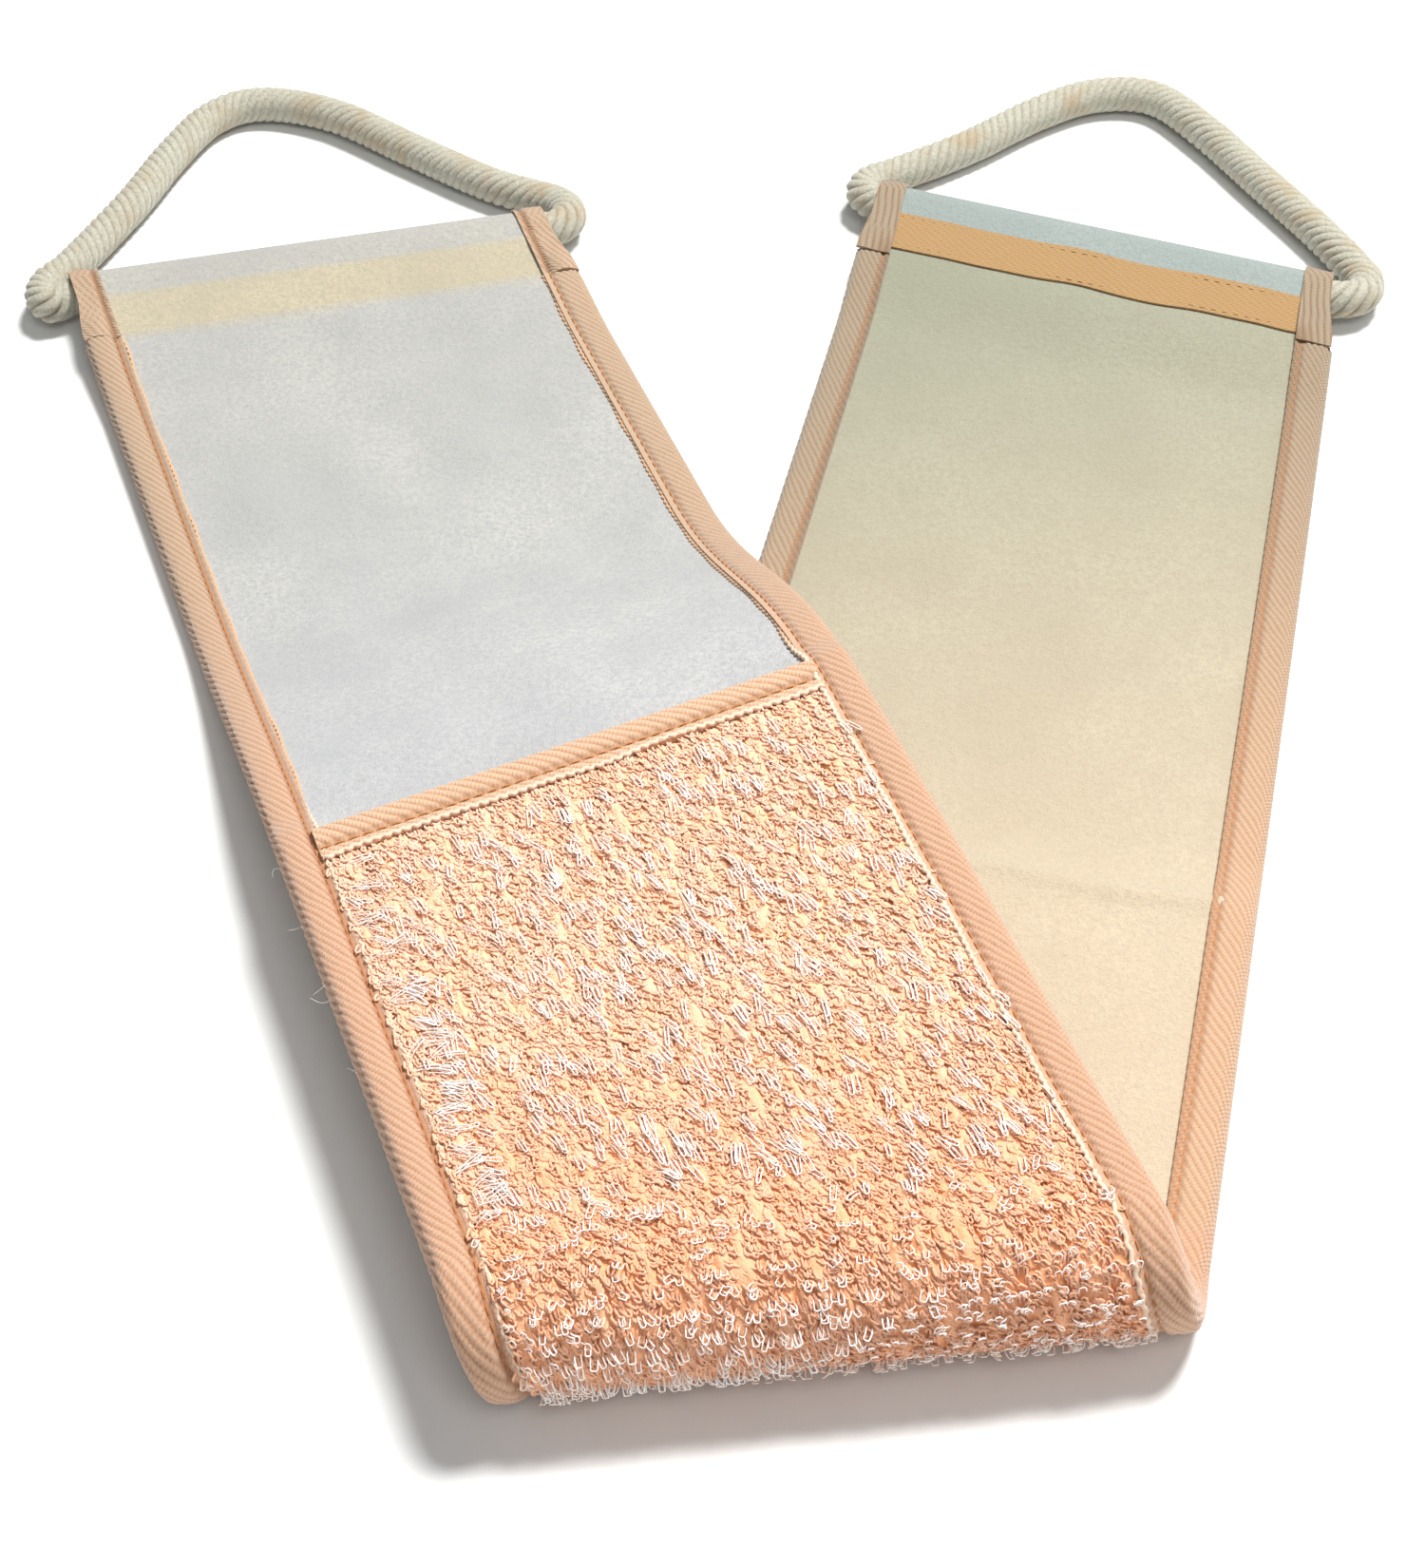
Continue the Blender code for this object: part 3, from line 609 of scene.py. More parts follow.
def curve_through(points, spacing):
    """Evenly spaced points along a smooth curve through the given ones (Catmull-Rom)."""
    ends = np.concatenate([[2 * points[0] - points[1]], points, [2 * points[-1] - points[-2]]])
    t = np.linspace(0, 1, 16, endpoint=False)[:, None]
    fine = [
        (b * 2 + (c - a) * t + (a * 2 - b * 5 + c * 4 - d) * t**2 + (b * 3 - a - c * 3 + d) * t**3) / 2
        for a, b, c, d in zip(ends, ends[1:], ends[2:], ends[3:])
    ]
    return evenly(np.concatenate([*fine, points[-1:]]), spacing)


def evenly(line, spacing):
    gone = distance_along(line)
    marks = np.linspace(0, gone[-1], max(2, round(gone[-1] / spacing) + 1))
    return np.stack([np.interp(marks, gone, line[:, k]) for k in range(3)], axis=1)


def rope_line(leg, spacing):
    middle_of_hem, along, out = hem_frame(leg)
    route = np.array(IN_TUNNEL + ROPE_ROUTE[leg] + mirrored(IN_TUNNEL))
    a, b = route[:, :1], route[:, 1:]
    points = middle_of_hem + along * a + out * (b + TUNNEL_AXIS)
    points[:, 2] = mix(HEM_LIFT, ROPE_RADIUS + 0.0003, smooth((b[:, 0] + TUNNEL_AXIS) / ROPE_DROP))
    return curve_through(points, spacing)


def make_rope(leg):
    """A cotton rope of laid strands, each wound round the rope's line."""
    line = rope_line(leg, 0.0007)
    gone = distance_along(line)
    tangent = unit(np.gradient(line, axis=0))
    level = unit(np.cross(tangent, (0.0, 0.0, 1.0)))
    upright = np.cross(level, tangent)
    turns = TURN * (gone / LAY + 0.06 * ripple(gone, 0 * gone, 0.02, 5))
    paths = []
    for k in range(STRANDS):
        angle = turns + TURN * k / STRANDS
        offset = level * np.cos(angle)[:, None] + upright * np.sin(angle)[:, None]
        paths.append(line + offset * (ROPE_RADIUS - STRAND_RADIUS))
    # A strand is a little too thick for its place, so that it presses into its neighbours.
    radius = STRAND_RADIUS * 1.04
    # The strands' relief gives the rope painted shade between them.
    rope = tubes(leg + "_rope", np.array(paths), radius, 10, LOOKS["rope"], capped=True, core=line)
    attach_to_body(rope, leg + "_handle")
    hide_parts(leg + "_rope_handle")


def make_splice(leg):
    """The thread wound tightly round the rope's two ends, inside the tunnel."""
    place, along, out = hem_frame(leg)
    t = np.linspace(0, 1, 25 * SPLICE_TURNS)
    angle = t * TURN * SPLICE_TURNS
    ring = np.outer(np.cos(angle), out) + np.outer(np.sin(angle), (0.0, 0.0, 1.0))
    path = place + np.outer(mix(-SPLICE_HALF, SPLICE_HALF, t), along) + ring * (ROPE_RADIUS - 0.0001)
    obj = tubes(leg + "_whipping", path[None], 0.00042, 6, LOOKS["whipping"], capped=True)
    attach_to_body(obj, leg + "_handle")
    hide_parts(leg + "_rope_splice")


# ---- shared by the sewn pieces ----


def attach(obj, zone, node):
    """obj moves with its leg, or at the fold has its transform baked into its mesh, and stands for a CAD node
    where one is given.
    """
    if zone == "fold":
        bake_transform(obj)
    else:
        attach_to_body(obj, zone + "_strap")
    if node:
        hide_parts(node)


def cloth_grid(zone, far, half_width, row_step, column_step):
    """(s, v) grids over a zone."""
    rows = round(zone_length(zone, far) / row_step) + 1
    columns = round(2 * half_width / column_step) + 1
    t, v = np.meshgrid(np.linspace(0, 1, rows), np.linspace(-half_width, half_width, columns), indexing="ij")
    return zone_line(zone, t, v, far), v


def sheet_of(name, s, v, low, high, look, relief=1.0):
    """A cloth sheet between the levels low and high over (s, v) grids."""
    return slab(name, strap(s, v, high), strap(s, v, low), np.stack([v, s], axis=-1), LOOKS[look], relief)


# ---- terry ----

TERRY_HALF = HALF - BINDING_WIDTH + 0.0006
ZONES = ("front", "fold", "rear")


def terry_far(zone):
    return LEGS[zone]["panel"] - CROSS_TAPE_WIDTH + 0.0006 if zone != "fold" else None


def terry_ground(zone):
    """The matted bed of the pile: curly lumps drawn out along the strap, falling away at the tapes."""
    s, v = cloth_grid(zone, terry_far(zone), TERRY_HALF, 0.0005, 0.0005)
    curls = ripple(s * 0.55, v * 1.4, 0.0016, 11, 16)
    streaks = ripple(s * 0.25, v * 1.4, 0.0032, 12, 14)
    bed = 0.55 + 0.28 * curls + 0.26 * streaks
    edge = smooth((TERRY_HALF - np.abs(v)) / 0.0016)
    if zone != "fold":
        edge = edge * smooth((terry_far(zone) - np.abs(s)) / 0.0016)
    # Painted shade: the relief, and with it the deep colour, falls in the bed's hollows and where the bed
    # falls away at the tapes.
    relief = np.clip(bed, 0, 1) * edge
    high = GROUND_EDGE_LEVEL + 0.0010 * edge + 0.0010 * np.clip(bed, -0.2, 1.2)
    obj = sheet_of(zone + "_terry_ground", s, v, GROUND_LEVEL, high, "ground", relief)
    attach(obj, zone, zone + "_terry")


def scattered(zone, pitch, seed, part=(0.0, 1.0)):
    """Jittered places over a share of a zone's terry, as (s, v) arrays."""
    source = np.random.default_rng(seed)
    half = TERRY_HALF - 0.0006
    far = terry_far(zone)
    rows = round(zone_length(zone, far) * (part[1] - part[0]) / pitch)
    columns = round(2 * half / pitch)
    i, j = np.meshgrid(np.arange(rows), np.arange(columns), indexing="ij")
    i, j = i.ravel() + source.uniform(0, 1, i.size), j.ravel() + source.uniform(0, 1, j.size)
    v = mix(-half, half, j / columns)
    return zone_line(zone, mix(*part, i / rows), v, far), v


def standing_loops(name, s, v, heading, lean, width, root, rise, radius, look, shape):
    """Loops of yarn. heading is the way each leans, in the strap's plane from +s towards +v, lean how far it
    reaches, width between its feet, root the level of its feet, and rise its height over them."""
    along_steps, across_steps, up_steps = (np.array(row) for row in shape)
    place, along, across, out = strap_frame(s, v)
    forward = along * np.cos(heading)[:, None] + across * np.sin(heading)[:, None]
    sideways = across * np.cos(heading)[:, None] - along * np.sin(heading)[:, None]
    paths = (
        place[:, None]
        + forward[:, None] * (lean[:, None] * along_steps)[..., None]
        + sideways[:, None] * (width[:, None] * across_steps)[..., None]
        + out[:, None] * (root + rise[:, None] * up_steps)[..., None]
    )
    # Painted shade: relief is lowest at a loop's feet, so the pile look darkens them.
    return tubes(name, paths, radius, 4, LOOKS[look], relief=0.35 + 0.65 * up_steps)


# Each loop's shape as shares of its lean, width and rise.
COTTON_LOOP = (
    (0.0, 0.35, 0.85, 1.0, 0.80, 0.15),
    (-0.5, -0.70, -0.35, 0.30, 0.65, 0.30),
    (0.0, 0.85, 1.0, 0.95, 0.75, 0.0),
)
NYLON_LOOP = (
    (0.0, 0.25, 0.55, 0.85, 0.97, 1.0, 0.97, 0.85, 0.55, 0.25, 0.0),
    (-0.5, -0.55, -0.5, -0.5, -0.35, 0.0, 0.35, 0.5, 0.5, 0.55, 0.5),
    (0.0, 0.55, 0.85, 1.0, 1.0, 1.0, 1.0, 1.0, 0.85, 0.55, 0.0),
)


# Metres from loop to loop. The rear leg's terry lies against the ground, out of sight.
COTTON_PITCH = {"front": 0.00092, "fold": 0.00092, "rear": 0.00140}
NYLON_PITCH = {"front": 0.0018, "fold": 0.0018, "rear": 0.0024}


def cotton_pile(zone, seed, part=(0.0, 1.0), word=""):
    """Curls of cotton yarn over the bed."""
    source = np.random.default_rng(seed)
    s, v = scattered(zone, COTTON_PITCH[zone], seed, part)
    to_fold = np.where(s < 0, 0.0, math.pi)
    heading = to_fold + source.normal(0, 0.4, s.size)
    lean = source.uniform(0.0014, 0.0028, s.size)
    width = source.uniform(0.0004, 0.0008, s.size)
    rise = source.uniform(0.0005, 0.0009, s.size)
    radius = source.uniform(0.00020, 0.00030, (s.size, 1))
    name = zone + "_terry_pile" + word
    obj = standing_loops(name, s, v, heading, lean, width, COTTON_ROOT, rise, radius, "pile", COTTON_LOOP)
    attach(obj, zone, None)


def near_left(v):
    return smooth((-v - TERRY_HALF + 0.009) / 0.007)


def nylon_loops(zone, seed):
    """Stiff pale loops, some in pairs, among the cotton: they lie down along the strap, stand at the fold,
    and splay inward along the left binding."""
    source = np.random.default_rng(seed)
    s, v = scattered(zone, NYLON_PITCH[zone], seed)
    at_fold = 1 - smooth((fold_distance(s, v) - 0.003) / 0.014)
    patchy = smooth(ripple(s, v, 0.012, 81) + 0.2)
    thick = 0.14 + 0.26 * near_left(v) + 0.12 * patchy + 0.60 * at_fold
    keep = source.uniform(0, 1, s.size) < thick
    if zone != "fold":
        keep = keep & (np.abs(s) < terry_far(zone) - 0.003)
    s, v = s[keep], v[keep]
    twin = source.uniform(0, 1, s.size) < 0.45
    s, v = np.concatenate([s, s[twin] + 0.0003]), np.concatenate([v, v[twin] + 0.0008])
    left_edge = near_left(v)
    down = np.where(s < 0, 0.12, math.pi - 0.12)
    standing = 1 - smooth((fold_distance(s, v) - 0.010) / 0.022)
    heading = mix(down, math.pi / 2, left_edge * 0.7)
    heading = heading + source.normal(0, 0.20 + 0.25 * left_edge + 0.45 * standing)
    lean = source.uniform(0.0034, 0.0052, s.size) * mix(1.0, 0.3, standing)
    rise = source.uniform(0.0007, 0.0013, s.size) * mix(1.0, 1.5, standing)
    width = source.uniform(0.00055, 0.00085, s.size) * mix(1.0, 1.4, standing)
    radius = source.uniform(0.00011, 0.00015, (s.size, 1))
    name = zone + "_nylon_loops"
    obj = standing_loops(name, s, v, heading, lean, width, NYLON_ROOT, rise, radius, "nylon", NYLON_LOOP)
    attach(obj, zone, None)


# ---- bindings and tapes ----

RIB_PITCH = 0.0024  # along the tape
RIB_SLOPE = 0.65  # how far a rib climbs along the tape for each step across it
RIB_HEIGHT = 0.00034
GROOVE = 0.0066  # from the strap's edge to the line of stitches
BINDING_ROUND = 0.0020  # how far in from the strap's edge the tape starts to turn round it
BINDING_BEND = math.pi * 0.0032  # length of the tape's turn
STITCH_PITCH = 0.0026
EDGES = ((-1, "left"), (1, "right"))
PUFF = {-1: 1.0, 1: 0.35}  # how far the left and the right tape are puffed between their stitches
PUFF_HEIGHT, GROOVE_DEPTH, FLANGE_DROP = 0.0006, 0.0010, 0.0003
PLAIN_GROOVE_DEPTH = 0.0005
SELVEDGE_WAVE, CROSS_SELVEDGE_WAVE = 0.0017, 0.0018  # from one crest to the next


def ribs(along, across):
    """Height of the twill's ribs, from 0 to 1."""
    wobble = 0.10 * ripple(along, across, 0.006, 21)
    phase = (along - across / RIB_SLOPE) / RIB_PITCH + wobble
    return 1 - np.abs(2 * (phase % 1) - 1) ** 1.7


def binding_level(zone, s):
    """n of the binding's inner side on the terry side."""
    past_panel = np.abs(s) - (1.0 if zone == "fold" else LEGS[zone]["panel"])
    return mix(TAPE_ON_PANEL, TAPE_ON_CLOTH, smooth((past_panel + 0.0030) / 0.0085))


def binding_far(zone):
    return LEGS[zone]["length"] - HEM_DEPTH if zone != "fold" else None


def groove_dip(inset):
    """1 along the line of stitches and 0 away from it."""
    return np.exp(-(((inset - GROOVE) / 0.0006) ** 2))


def binding_section():
    """Across the tape from its inner edge on the terry side, round the strap's edge, to the plain side.
    Gives the distance in from the edge, the level from 0 (plain side) to 1, and the length along the tape."""
    flat = BINDING_WIDTH - BINDING_ROUND
    length = np.linspace(0, 2 * flat + BINDING_BEND, 66)
    inset = np.where(length < flat, BINDING_WIDTH - length, 0.0)
    past_flat = length - flat
    angle = np.clip(past_flat / BINDING_BEND, 0, 1) * math.pi
    inset = np.where(past_flat >= 0, BINDING_ROUND * (1 - np.sin(angle)), inset)
    inset = np.where(past_flat > BINDING_BEND, BINDING_ROUND + (past_flat - BINDING_BEND), inset)
    level = (1 + np.cos(angle)) / 2
    return inset, level, length


def binding(zone, edge, word):
    """Tape sewn round one edge: a puffed ribbed band, a stitched groove, and a flat flange by the terry."""
    far = binding_far(zone)
    t = np.linspace(0, 1, round(zone_length(zone, far) / 0.00045) + 1)
    inset, level, length = binding_section()
    v_row = edge * (HALF - inset)
    tt, vv = np.meshgrid(t, v_row, indexing="ij")
    s = zone_line(zone, tt, vv, far)
    high, low = binding_level(zone, s) + TAPE, TAPE_UNDER
    n = mix(low, high, level[None, :])
    on_terry_side, on_plain_side = level > 0.9, level < 0.1
    dip = groove_dip(inset)
    groove, plain_groove = dip * on_terry_side, dip * on_plain_side
    flange = smooth((inset - GROOVE) / 0.0006) * on_terry_side
    puff = PUFF_HEIGHT * PUFF[edge] * np.sin(np.clip(inset / GROOVE, 0, 1) * math.pi) * on_terry_side
    rib = ribs(s, edge * length)
    height = RIB_HEIGHT * rib * (1 - groove) * mix(1.0, 0.4, flange) + puff
    height = height - PUFF[edge] * (GROOVE_DEPTH * groove + FLANGE_DROP * flange)
    height = height - PLAIN_GROOVE_DEPTH * plain_groove
    # Painted shade: the rib colour darkens in the stitched grooves. It darkens too along the tape's inner
    # edge on the plain side.
    inner_edge = smooth((inset - 0.0068) / 0.0008) * on_plain_side
    relief = mix(rib, 0.9, flange * 0.8) * (1 - PUFF[edge] * groove)
    relief = relief * (1 - 0.7 * plain_groove) * (1 - 0.7 * inner_edge)
    place, _, across, out = strap_frame(s, vv)
    rise = 2 * level - 1
    around = np.sqrt(np.clip(1 - rise**2, 0, 1)) * edge
    normal = out * rise[None, :, None] + across * around[None, :, None]
    outer = place + out * n[..., None] + normal * height[..., None]
    inner = place + out * n[..., None] - normal * 0.0007
    uv = np.stack([np.broadcast_to(length * edge, s.shape), s], axis=-1)
    if edge > 0:
        outer, inner, uv, relief = (grid[:, ::-1] for grid in (outer, inner, uv, relief))
    look = LOOKS["rear_tape" if zone == "rear" else "tape"]
    obj = slab(f"{zone}_{word}_binding_tape", outer, inner, uv, look, relief)
    attach(obj, zone, f"{zone}_{word}_binding")
    selvedge(zone, edge, word, t, far)


def selvedge(zone, edge, word, t, far):
    """The tape's woven edge: a wavy cord, pale beside the terry and darker beside the bare cloth."""
    v = np.full(t.shape, edge * (HALF - BINDING_WIDTH - 0.0001))
    s = zone_line(zone, t, v, far)
    v = v + 0.00022 * np.sin(s / SELVEDGE_WAVE * TURN) + 0.00020 * ripple(s, 0 * s, 0.012, 31)
    stand = mix(0.0002 + 0.0006 * (1 - PUFF[edge]), -0.0002, bare(s))
    n = binding_level(zone, s) + stand + 0.00010 * np.sin(s / SELVEDGE_WAVE * TURN + 1.2)
    path = strap(s, v, n)
    relief = (1 - 0.8 * bare(s))[None]
    name = f"{zone}_{word}_selvedge"
    radius = 0.00032 + 0.00016 * (1 - PUFF[edge])
    obj = tubes(name, path[None], radius, 8, LOOKS["selvedge"], capped=True, relief=relief)
    attach(obj, zone, None)


def stitches(name, zone, s, v, n, node, look="thread", radius=0.00017):
    """A row of lockstitches along a line of (s, v, n), each a short thread that dips at its ends."""
    line = strap(s, v, n)
    gone = distance_along(line)
    starts = np.arange(int(gone[-1] / STITCH_PITCH)) * STITCH_PITCH + STITCH_PITCH * 0.1
    marks = starts[:, None] + np.linspace(0, 0.8, 5)[None, :] * STITCH_PITCH
    path = np.stack([np.interp(marks, gone, line[:, k]) for k in range(3)], axis=-1)
    _, _, _, out = strap_frame(s, v)
    normal = np.stack([np.interp(marks, gone, out[:, k]) for k in range(3)], axis=-1)
    facing = 1 if np.mean(n) > 0 else -1
    dip = np.array([-0.0003, 0.00002, 0.00008, 0.00002, -0.0003]) * facing
    path = path + normal * dip[None, :, None]
    obj = tubes(name, path, radius, 6, LOOKS[look])
    attach(obj, zone, node)


def side_stitches(zone, edge, word):
    t = np.linspace(0, 1, 400)
    v = np.full(t.shape, edge * (HALF - GROOVE))
    s = zone_line(zone, t, v, binding_far(zone))
    above = binding_level(zone, s) + TAPE - 0.00065 * PUFF[edge]
    node = f"fold_{word}_seam" if zone == "fold" else f"{zone}_{word}_seam_terry_side"
    stitches(f"{zone}_{word}_terry_side_stitches", zone, s, v, above, node)
    node = None if zone == "fold" else f"{zone}_{word}_seam_plain_side"
    stitches(f"{zone}_{word}_plain_side_stitches", zone, s, v, 0 * s + TAPE_UNDER + 0.00035, node)


def cross_tape(leg):
    """The tape bound over the terry's end: ribbed, with a cord-like selvedge on the terry side."""
    side, panel = LEGS[leg]["side"], LEGS[leg]["panel"]
    half = HALF - BINDING_WIDTH + 0.0008
    u = np.linspace(0, 1, 26)
    v = np.linspace(-half, half, round(2 * half / 0.0005))
    uu, vv = np.meshgrid(u, v, indexing="ij")
    s = side * (panel - CROSS_TAPE_WIDTH * (1 - uu) + 0.0006 * uu)
    top = mix(CROSS_TAPE_LEVEL, 0.0022, smooth((uu - 0.62) / 0.38))
    seam = np.exp(-(((uu - 0.26) / 0.06) ** 2))
    puff = 0.0005 * np.sin(np.clip((uu - 0.3) / 0.6, 0, 1) * math.pi)
    # Painted shade: the rib colour darkens along the sunken seam.
    rib = ribs(vv, s * 0.9) * (1 - 0.8 * seam)
    n = top + puff + RIB_HEIGHT * rib * mix(1.0, 0.4, seam) - 0.0006 * seam
    upper, lower = strap(s, vv, n), strap(s, vv, np.minimum(top - 0.0011, 0.0036))
    uv = np.stack([s, vv], axis=-1)
    if side < 0:
        upper, lower, uv, rib = (grid[::-1] for grid in (upper, lower, uv, rib))
    obj = slab(leg + "_cross_twill", upper, lower, uv, LOOKS["cross"], rib)
    attach(obj, leg, leg + "_cross_tape")
    phase = v / CROSS_SELVEDGE_WAVE * TURN
    wave = 0.00034 * np.sin(phase) + 0.00045 * ripple(v, 0 * v, 0.014, 33)
    level = CROSS_TAPE_LEVEL + 0.0001 * np.sin(phase + 1)
    path = strap(side * (panel - CROSS_TAPE_WIDTH) + wave, v, level)
    cord = tubes(leg + "_cross_selvedge", path[None], 0.00046, 8, LOOKS["selvedge"], capped=True)
    attach(cord, leg, None)
    row = side * (panel - CROSS_TAPE_WIDTH * 0.74) + 0 * v
    stitches(leg + "_cross_stitches", leg, row, v, 0 * v + CROSS_TAPE_LEVEL - 0.00025, leg + "_cross_seam")


# ---- cloth and hems ----

LINING_END = 0.0126  # from the strap's end to the edge of the inner layers
ROLL_END = 0.0135  # from the strap's end to where the roll round the rope ends
FACE_END = (0.0215, -0.0013)  # the turned face cloth's end, as (distance from the strap's end, n)
HEM_TAPE_START = 0.0136  # from the strap's end to the hem tape's outer edge
HEM_TAPE_END = (0.0242, -0.0017)
HEM_ROWS = {"outer": 0.0149, "inner": 0.0229}  # lines of stitches, from the strap's end


def drawn_in(back):
    """How far the rope draws the hem in, from 0 to 1, at a distance back from the strap's end."""
    return smooth((HEM_DEPTH - back) / (HEM_DEPTH - ROLL_END))


def hem_turn(radius, start, end, steps=22):
    """(distance back from the end, n) round the rope, along tangents from start and to end."""

    def touch(point, turn):
        dx, dy = TUNNEL_AXIS - point[0], point[1]
        return math.atan2(dy, dx) + turn * math.acos(radius / math.hypot(dx, dy))

    first, last = touch(start, -1), touch(end, 1)
    last -= TURN if last > first else 0
    angle = np.linspace(first, last, steps)
    arc = np.stack([TUNNEL_AXIS - radius * np.cos(angle), radius * np.sin(angle)], axis=1)
    lead = np.linspace(start, arc[0], 14, endpoint=False)
    tail = np.linspace(arc[-1], end, 8)[1:]
    return np.concatenate([lead, arc, tail])


def soft_folds(s, v):
    """Small waves that a laid cloth keeps, none at its sewn edges."""
    free = 1 - smooth((np.abs(v) - HALF + 0.030) / 0.022)
    return (0.0007 * ripple(s, v, 0.06, 41) + 0.0003 * ripple(s, v, 0.018, 42)) * free


def face_cloth(leg):
    """White flannel along the leg, over the rope and back under the hem tape."""
    side, length = LEGS[leg]["side"], LEGS[leg]["length"]
    v = np.linspace(-CLOTH_HALF, CLOTH_HALF, round(2 * CLOTH_HALF / 0.002) + 1)
    turn = hem_turn(ROPE_RADIUS + 0.0003, (HEM_DEPTH, FACE_LEVEL), FACE_END)
    flat_rows = round((length - HEM_DEPTH - FOLD_REACH) / 0.0025)
    t = np.linspace(0, 1, flat_rows, endpoint=False)[:, None]
    flat_s = mix(fold_end(side, v)[None, :], side * (length - HEM_DEPTH), t)
    turn_s = side * (length - turn[:, :1]) + 0 * v[None, :]
    s = np.concatenate([flat_s, turn_s])
    draw = np.concatenate([0 * t[:, 0], drawn_in(turn[:, 0])])
    vv = v[None, :] * (1 - HEM_PINCH / HALF * draw[:, None])
    tucked = (binding_level(leg, flat_s) - TAPE_ON_CLOTH) * smooth((np.abs(v) - HALF + 0.013) / 0.005)
    n = np.concatenate([FACE_LEVEL + tucked, turn[:, 1:] + 0 * v[None, :]])
    n = n + np.concatenate([soft_folds(flat_s, vv[: len(t)]), 0 * turn_s]) * (1 if leg == "front" else 0.2)
    inner = strap(s, vv, n)
    outward = unit(np.cross(np.gradient(inner, axis=0), np.gradient(inner, axis=1))) * side
    outer = inner + outward * CLOTH
    from_end = length - side * s
    on_hem = smooth((HEM_DEPTH - from_end) / 0.0015 + 0.5) * (n > 0)
    relief = 1 - on_hem * mix(0.15, 1.0, smooth((from_end - ROLL_END) / 0.0015))
    uv = np.stack([vv, s], axis=-1)
    if side < 0:
        outer, inner, uv, relief = (grid[::-1] for grid in (outer, inner, uv, relief))
    # The rear face cloth takes the darker copy of the white flannel, as painted shade.
    obj = slab(leg + "_flannel", outer, inner, uv, LOOKS["white" if leg == "front" else "roll"], relief)
    attach(obj, leg, leg + "_face_cloth")


def lining(leg, node, low, high, look, word):
    """A leg's inner or reverse layer, between two levels. A shallow crease marks the terry panel's end."""
    length = LEGS[leg]["length"]
    reach = length - LINING_END
    s, v = cloth_grid(leg, reach, CLOTH_HALF, 0.0012, 0.0025)
    ridge = np.exp(-(((np.abs(s) - LEGS[leg]["panel"] - 0.0006 * ripple(v, 0 * v, 0.03, 44)) / 0.0018) ** 2))
    from_hem = smooth((length - np.abs(s) - HEM_DEPTH) / 0.02)
    wave = soft_folds(s, v) * (1 if leg == "front" else 0.5) * from_hem - 0.0009 * ridge
    obj = sheet_of(f"{leg}_{word}", s, v, low + wave, high + wave, look)
    attach(obj, leg, node)


def fold_cloth(node, low, high, look, name):
    s, v = cloth_grid("fold", None, CLOTH_HALF, 0.0010, 0.0025)
    obj = sheet_of(name, s, v, low, high, look)
    attach(obj, "fold", node)


def binding_turnover(leg, edge, word):
    """The side binding's end, gathered and turned over the rope."""
    side, length = LEGS[leg]["side"], LEGS[leg]["length"]
    end = HEM_DEPTH + 0.0006
    turn = hem_turn(ROPE_RADIUS + 0.0011, (end, TAPE_ON_CLOTH), (end, -0.0026))
    outer_v = HALF - HEM_PINCH * drawn_in(turn[:, 0])
    share = np.linspace(0, 1, 28)
    v = edge * mix(HALF - BINDING_WIDTH, outer_v[:, None], share[None, :])
    s = side * (length - turn[:, :1]) + 0 * v
    gone = distance_along(turn)
    n = turn[:, 1:] + 0 * v
    inner = strap(s, v, n)
    outward = unit(np.cross(np.gradient(inner, axis=0), np.gradient(inner, axis=1))) * side * edge
    # The tape is darker towards its end and its inner edge on the plain side. Painted shade darkens it in the
    # stitched groove.
    dark_patch = np.exp(-(((HEM_DEPTH - turn[:, :1]) / 0.004) ** 2 + (share / 0.5) ** 2)) * (turn[:, 1:] < 0)
    inset = HALF - np.abs(v)
    dip = groove_dip(inset) * (n > 0)
    rib = ribs(gone[:, None] + 0 * v, v) * (1 - 0.8 * dark_patch) * (1 - dip)
    start = smooth(1 - gone[:, None] / 0.012)
    puff = (0.0002 + 0.0010 * np.sin(np.clip(inset / GROOVE, 0, 1) * math.pi)) * start - 0.0005 * dip
    gathers = 0.00015 * ripple(gone[:, None] + 0 * v, v, 0.004, 51)
    outer = inner + outward * (0.0004 + RIB_HEIGHT * rib * 0.5 + gathers + puff)[..., None]
    uv = np.stack([v, gone[:, None] + 0 * v], axis=-1)
    if side * edge < 0:
        outer, inner, uv, rib = (grid[::-1] for grid in (outer, inner, uv, rib))
    look = LOOKS["rear_tape" if leg == "rear" else "tape"]
    obj = slab(f"{leg}_{word}_turned_tape", outer, inner, uv, look, rib)
    attach(obj, leg, f"{leg}_{word}_binding_turnover")


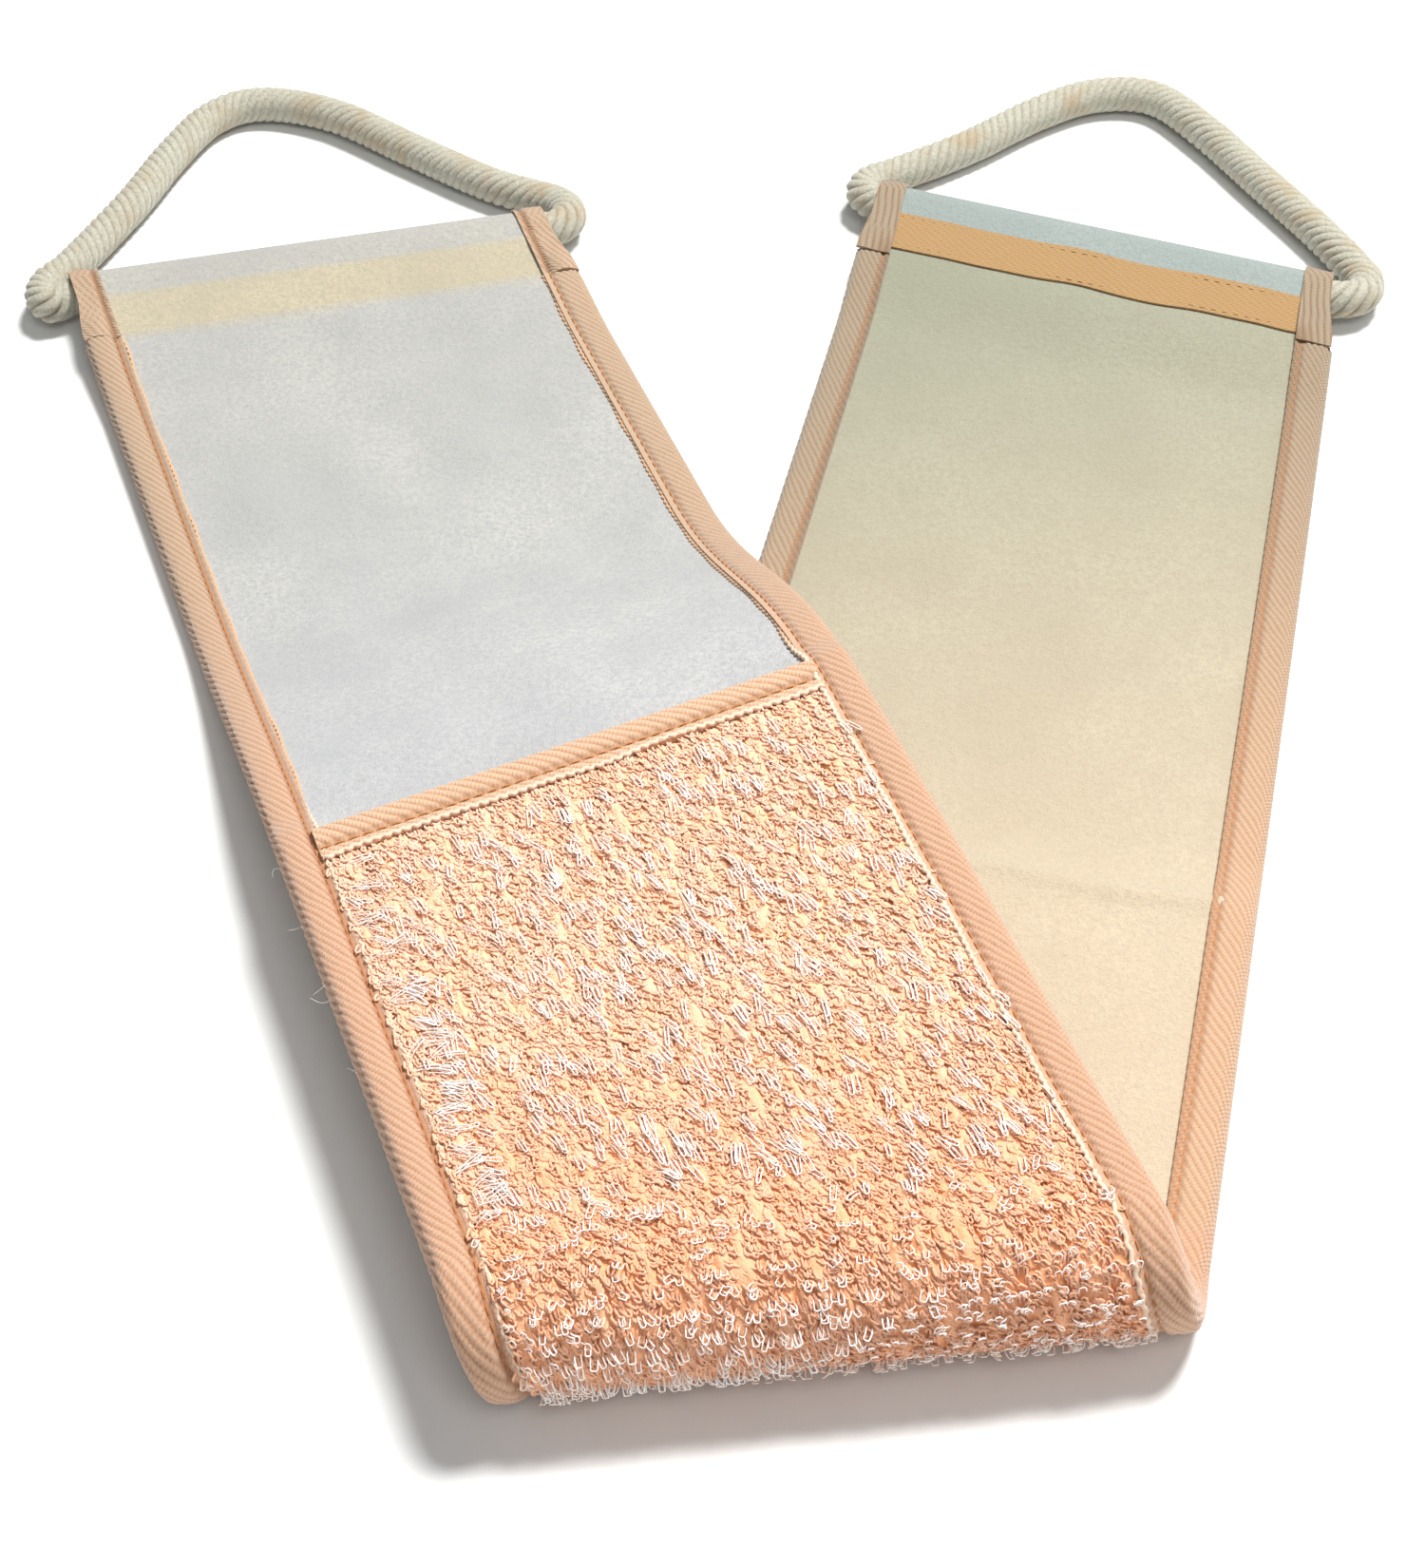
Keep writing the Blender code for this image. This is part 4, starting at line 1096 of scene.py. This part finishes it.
def hem_tape(leg):
    """Tan tape over the hem's raw edge on the plain side, its outer edge lying on the roll."""
    side, length = LEGS[leg]["side"], LEGS[leg]["length"]
    half = HALF - BINDING_WIDTH + 0.0003
    turn = hem_turn(ROPE_RADIUS + 0.0012, (HEM_DEPTH, TAPE_ON_CLOTH), HEM_TAPE_END, 44)
    turn = evenly(np.pad(turn[turn[:, 1] < 0], ((0, 0), (0, 1))), 0.0005)[:, :2]
    turn = turn[turn[:, 0] > HEM_TAPE_START]
    v = np.linspace(-half, half, 180)
    back = turn[:, :1] + 0.00035 * ripple(v, 0 * v, 0.012, 61)
    vv = v + 0 * back
    s = side * (length - back)
    rib = ribs(vv, back)
    n = turn[:, 1:] - 0.0003 - 0.00012 * rib
    under, over = strap(s, vv, n), strap(s, vv, turn[:, 1:] + 0.0001 + 0 * vv)
    uv = np.stack([vv, back], axis=-1)
    if side > 0:
        under, over, uv, rib = (grid[::-1] for grid in (under, over, uv, rib))
    obj = slab(leg + "_tan_tape", under, over, uv, LOOKS["hem"], np.clip(rib, 0.25, 1))
    attach(obj, leg, leg + "_hem_tape")
    for word, back in HEM_ROWS.items():
        level = np.interp(back, turn[:, 0], turn[:, 1]) - 0.0003
        line = side * (length - back) + 0 * v
        name, node = f"{leg}_{word}_hem_stitches", f"{leg}_hem_seam_{word}"
        stitches(name, leg, line, v, 0 * v + level, node, "hem_thread", radius=0.00013)


def stray_fibres():
    """A few hairs worked loose from the pile along the panel's left edge and under the fold."""
    source = np.random.default_rng(91)
    count = 16
    v = np.where(source.uniform(0, 1, count) < 0.4, -HALF, source.uniform(-HALF, HALF, count))
    up_the_edge = -source.uniform(0.0, 0.09, count)
    under_the_fold = source.uniform(0.012, 0.030, count)
    s = fold_end(-1, v) + np.where(v == -HALF, up_the_edge, under_the_fold)
    place, _, across, out = strap_frame(s, v)
    t = np.linspace(0, 1, 17)[None, :, None]
    reach = source.uniform(0.002, 0.0045, (count, 1, 1))
    curl = source.normal(0, 1, (count, 1, 3))
    away = np.where(v[:, None] == -HALF, -across, out)
    heading = unit(away + 0.5 * source.normal(0, 1, (count, 3)))[:, None]
    path = place[:, None] + out[:, None] * 0.003 + heading * reach * t + curl * 0.0005 * np.sin(t * 3)
    path[..., 2] = np.maximum(path[..., 2], 0.0004)
    attach(tubes("stray_fibres", path, 0.00003, 4, LOOKS["nylon"]), "fold", None)


def make_strap():
    for zone in ZONES:
        terry_ground(zone)
        for edge, word in EDGES:
            binding(zone, edge, word)
            side_stitches(zone, edge, word)
    for k, word in enumerate(("_outer", "_middle", "_inner")):
        cotton_pile("front", 71 + k, (k / 3, (k + 1) / 3), word)
    cotton_pile("fold", 75)
    cotton_pile("rear", 76)
    for seed, zone in enumerate(ZONES, 81):
        nylon_loops(zone, seed)
    stray_fibres()
    for leg in LEGS:
        cross_tape(leg)
        face_cloth(leg)
        lining(leg, leg + "_wadding", -CLOTH, CLOTH, "wadding", "filling")
        lining(leg, leg + "_reverse_cloth", -FACE_TOP, -FACE_LEVEL, "cream", "lining")
        hem_tape(leg)
        for edge, word in EDGES:
            binding_turnover(leg, edge, word)
    fold_cloth("fold_wadding", -CLOTH, CLOTH, "wadding", "fold_filling")
    fold_cloth("fold_face_cloth", FACE_LEVEL, FACE_TOP, "white", "fold_flannel")
    fold_cloth("fold_reverse_cloth", -FACE_TOP, -FACE_LEVEL, "cream", "fold_lining")


make_camera()
make_stage()
for leg in LEGS:
    make_rope(leg)
    make_splice(leg)
make_strap()
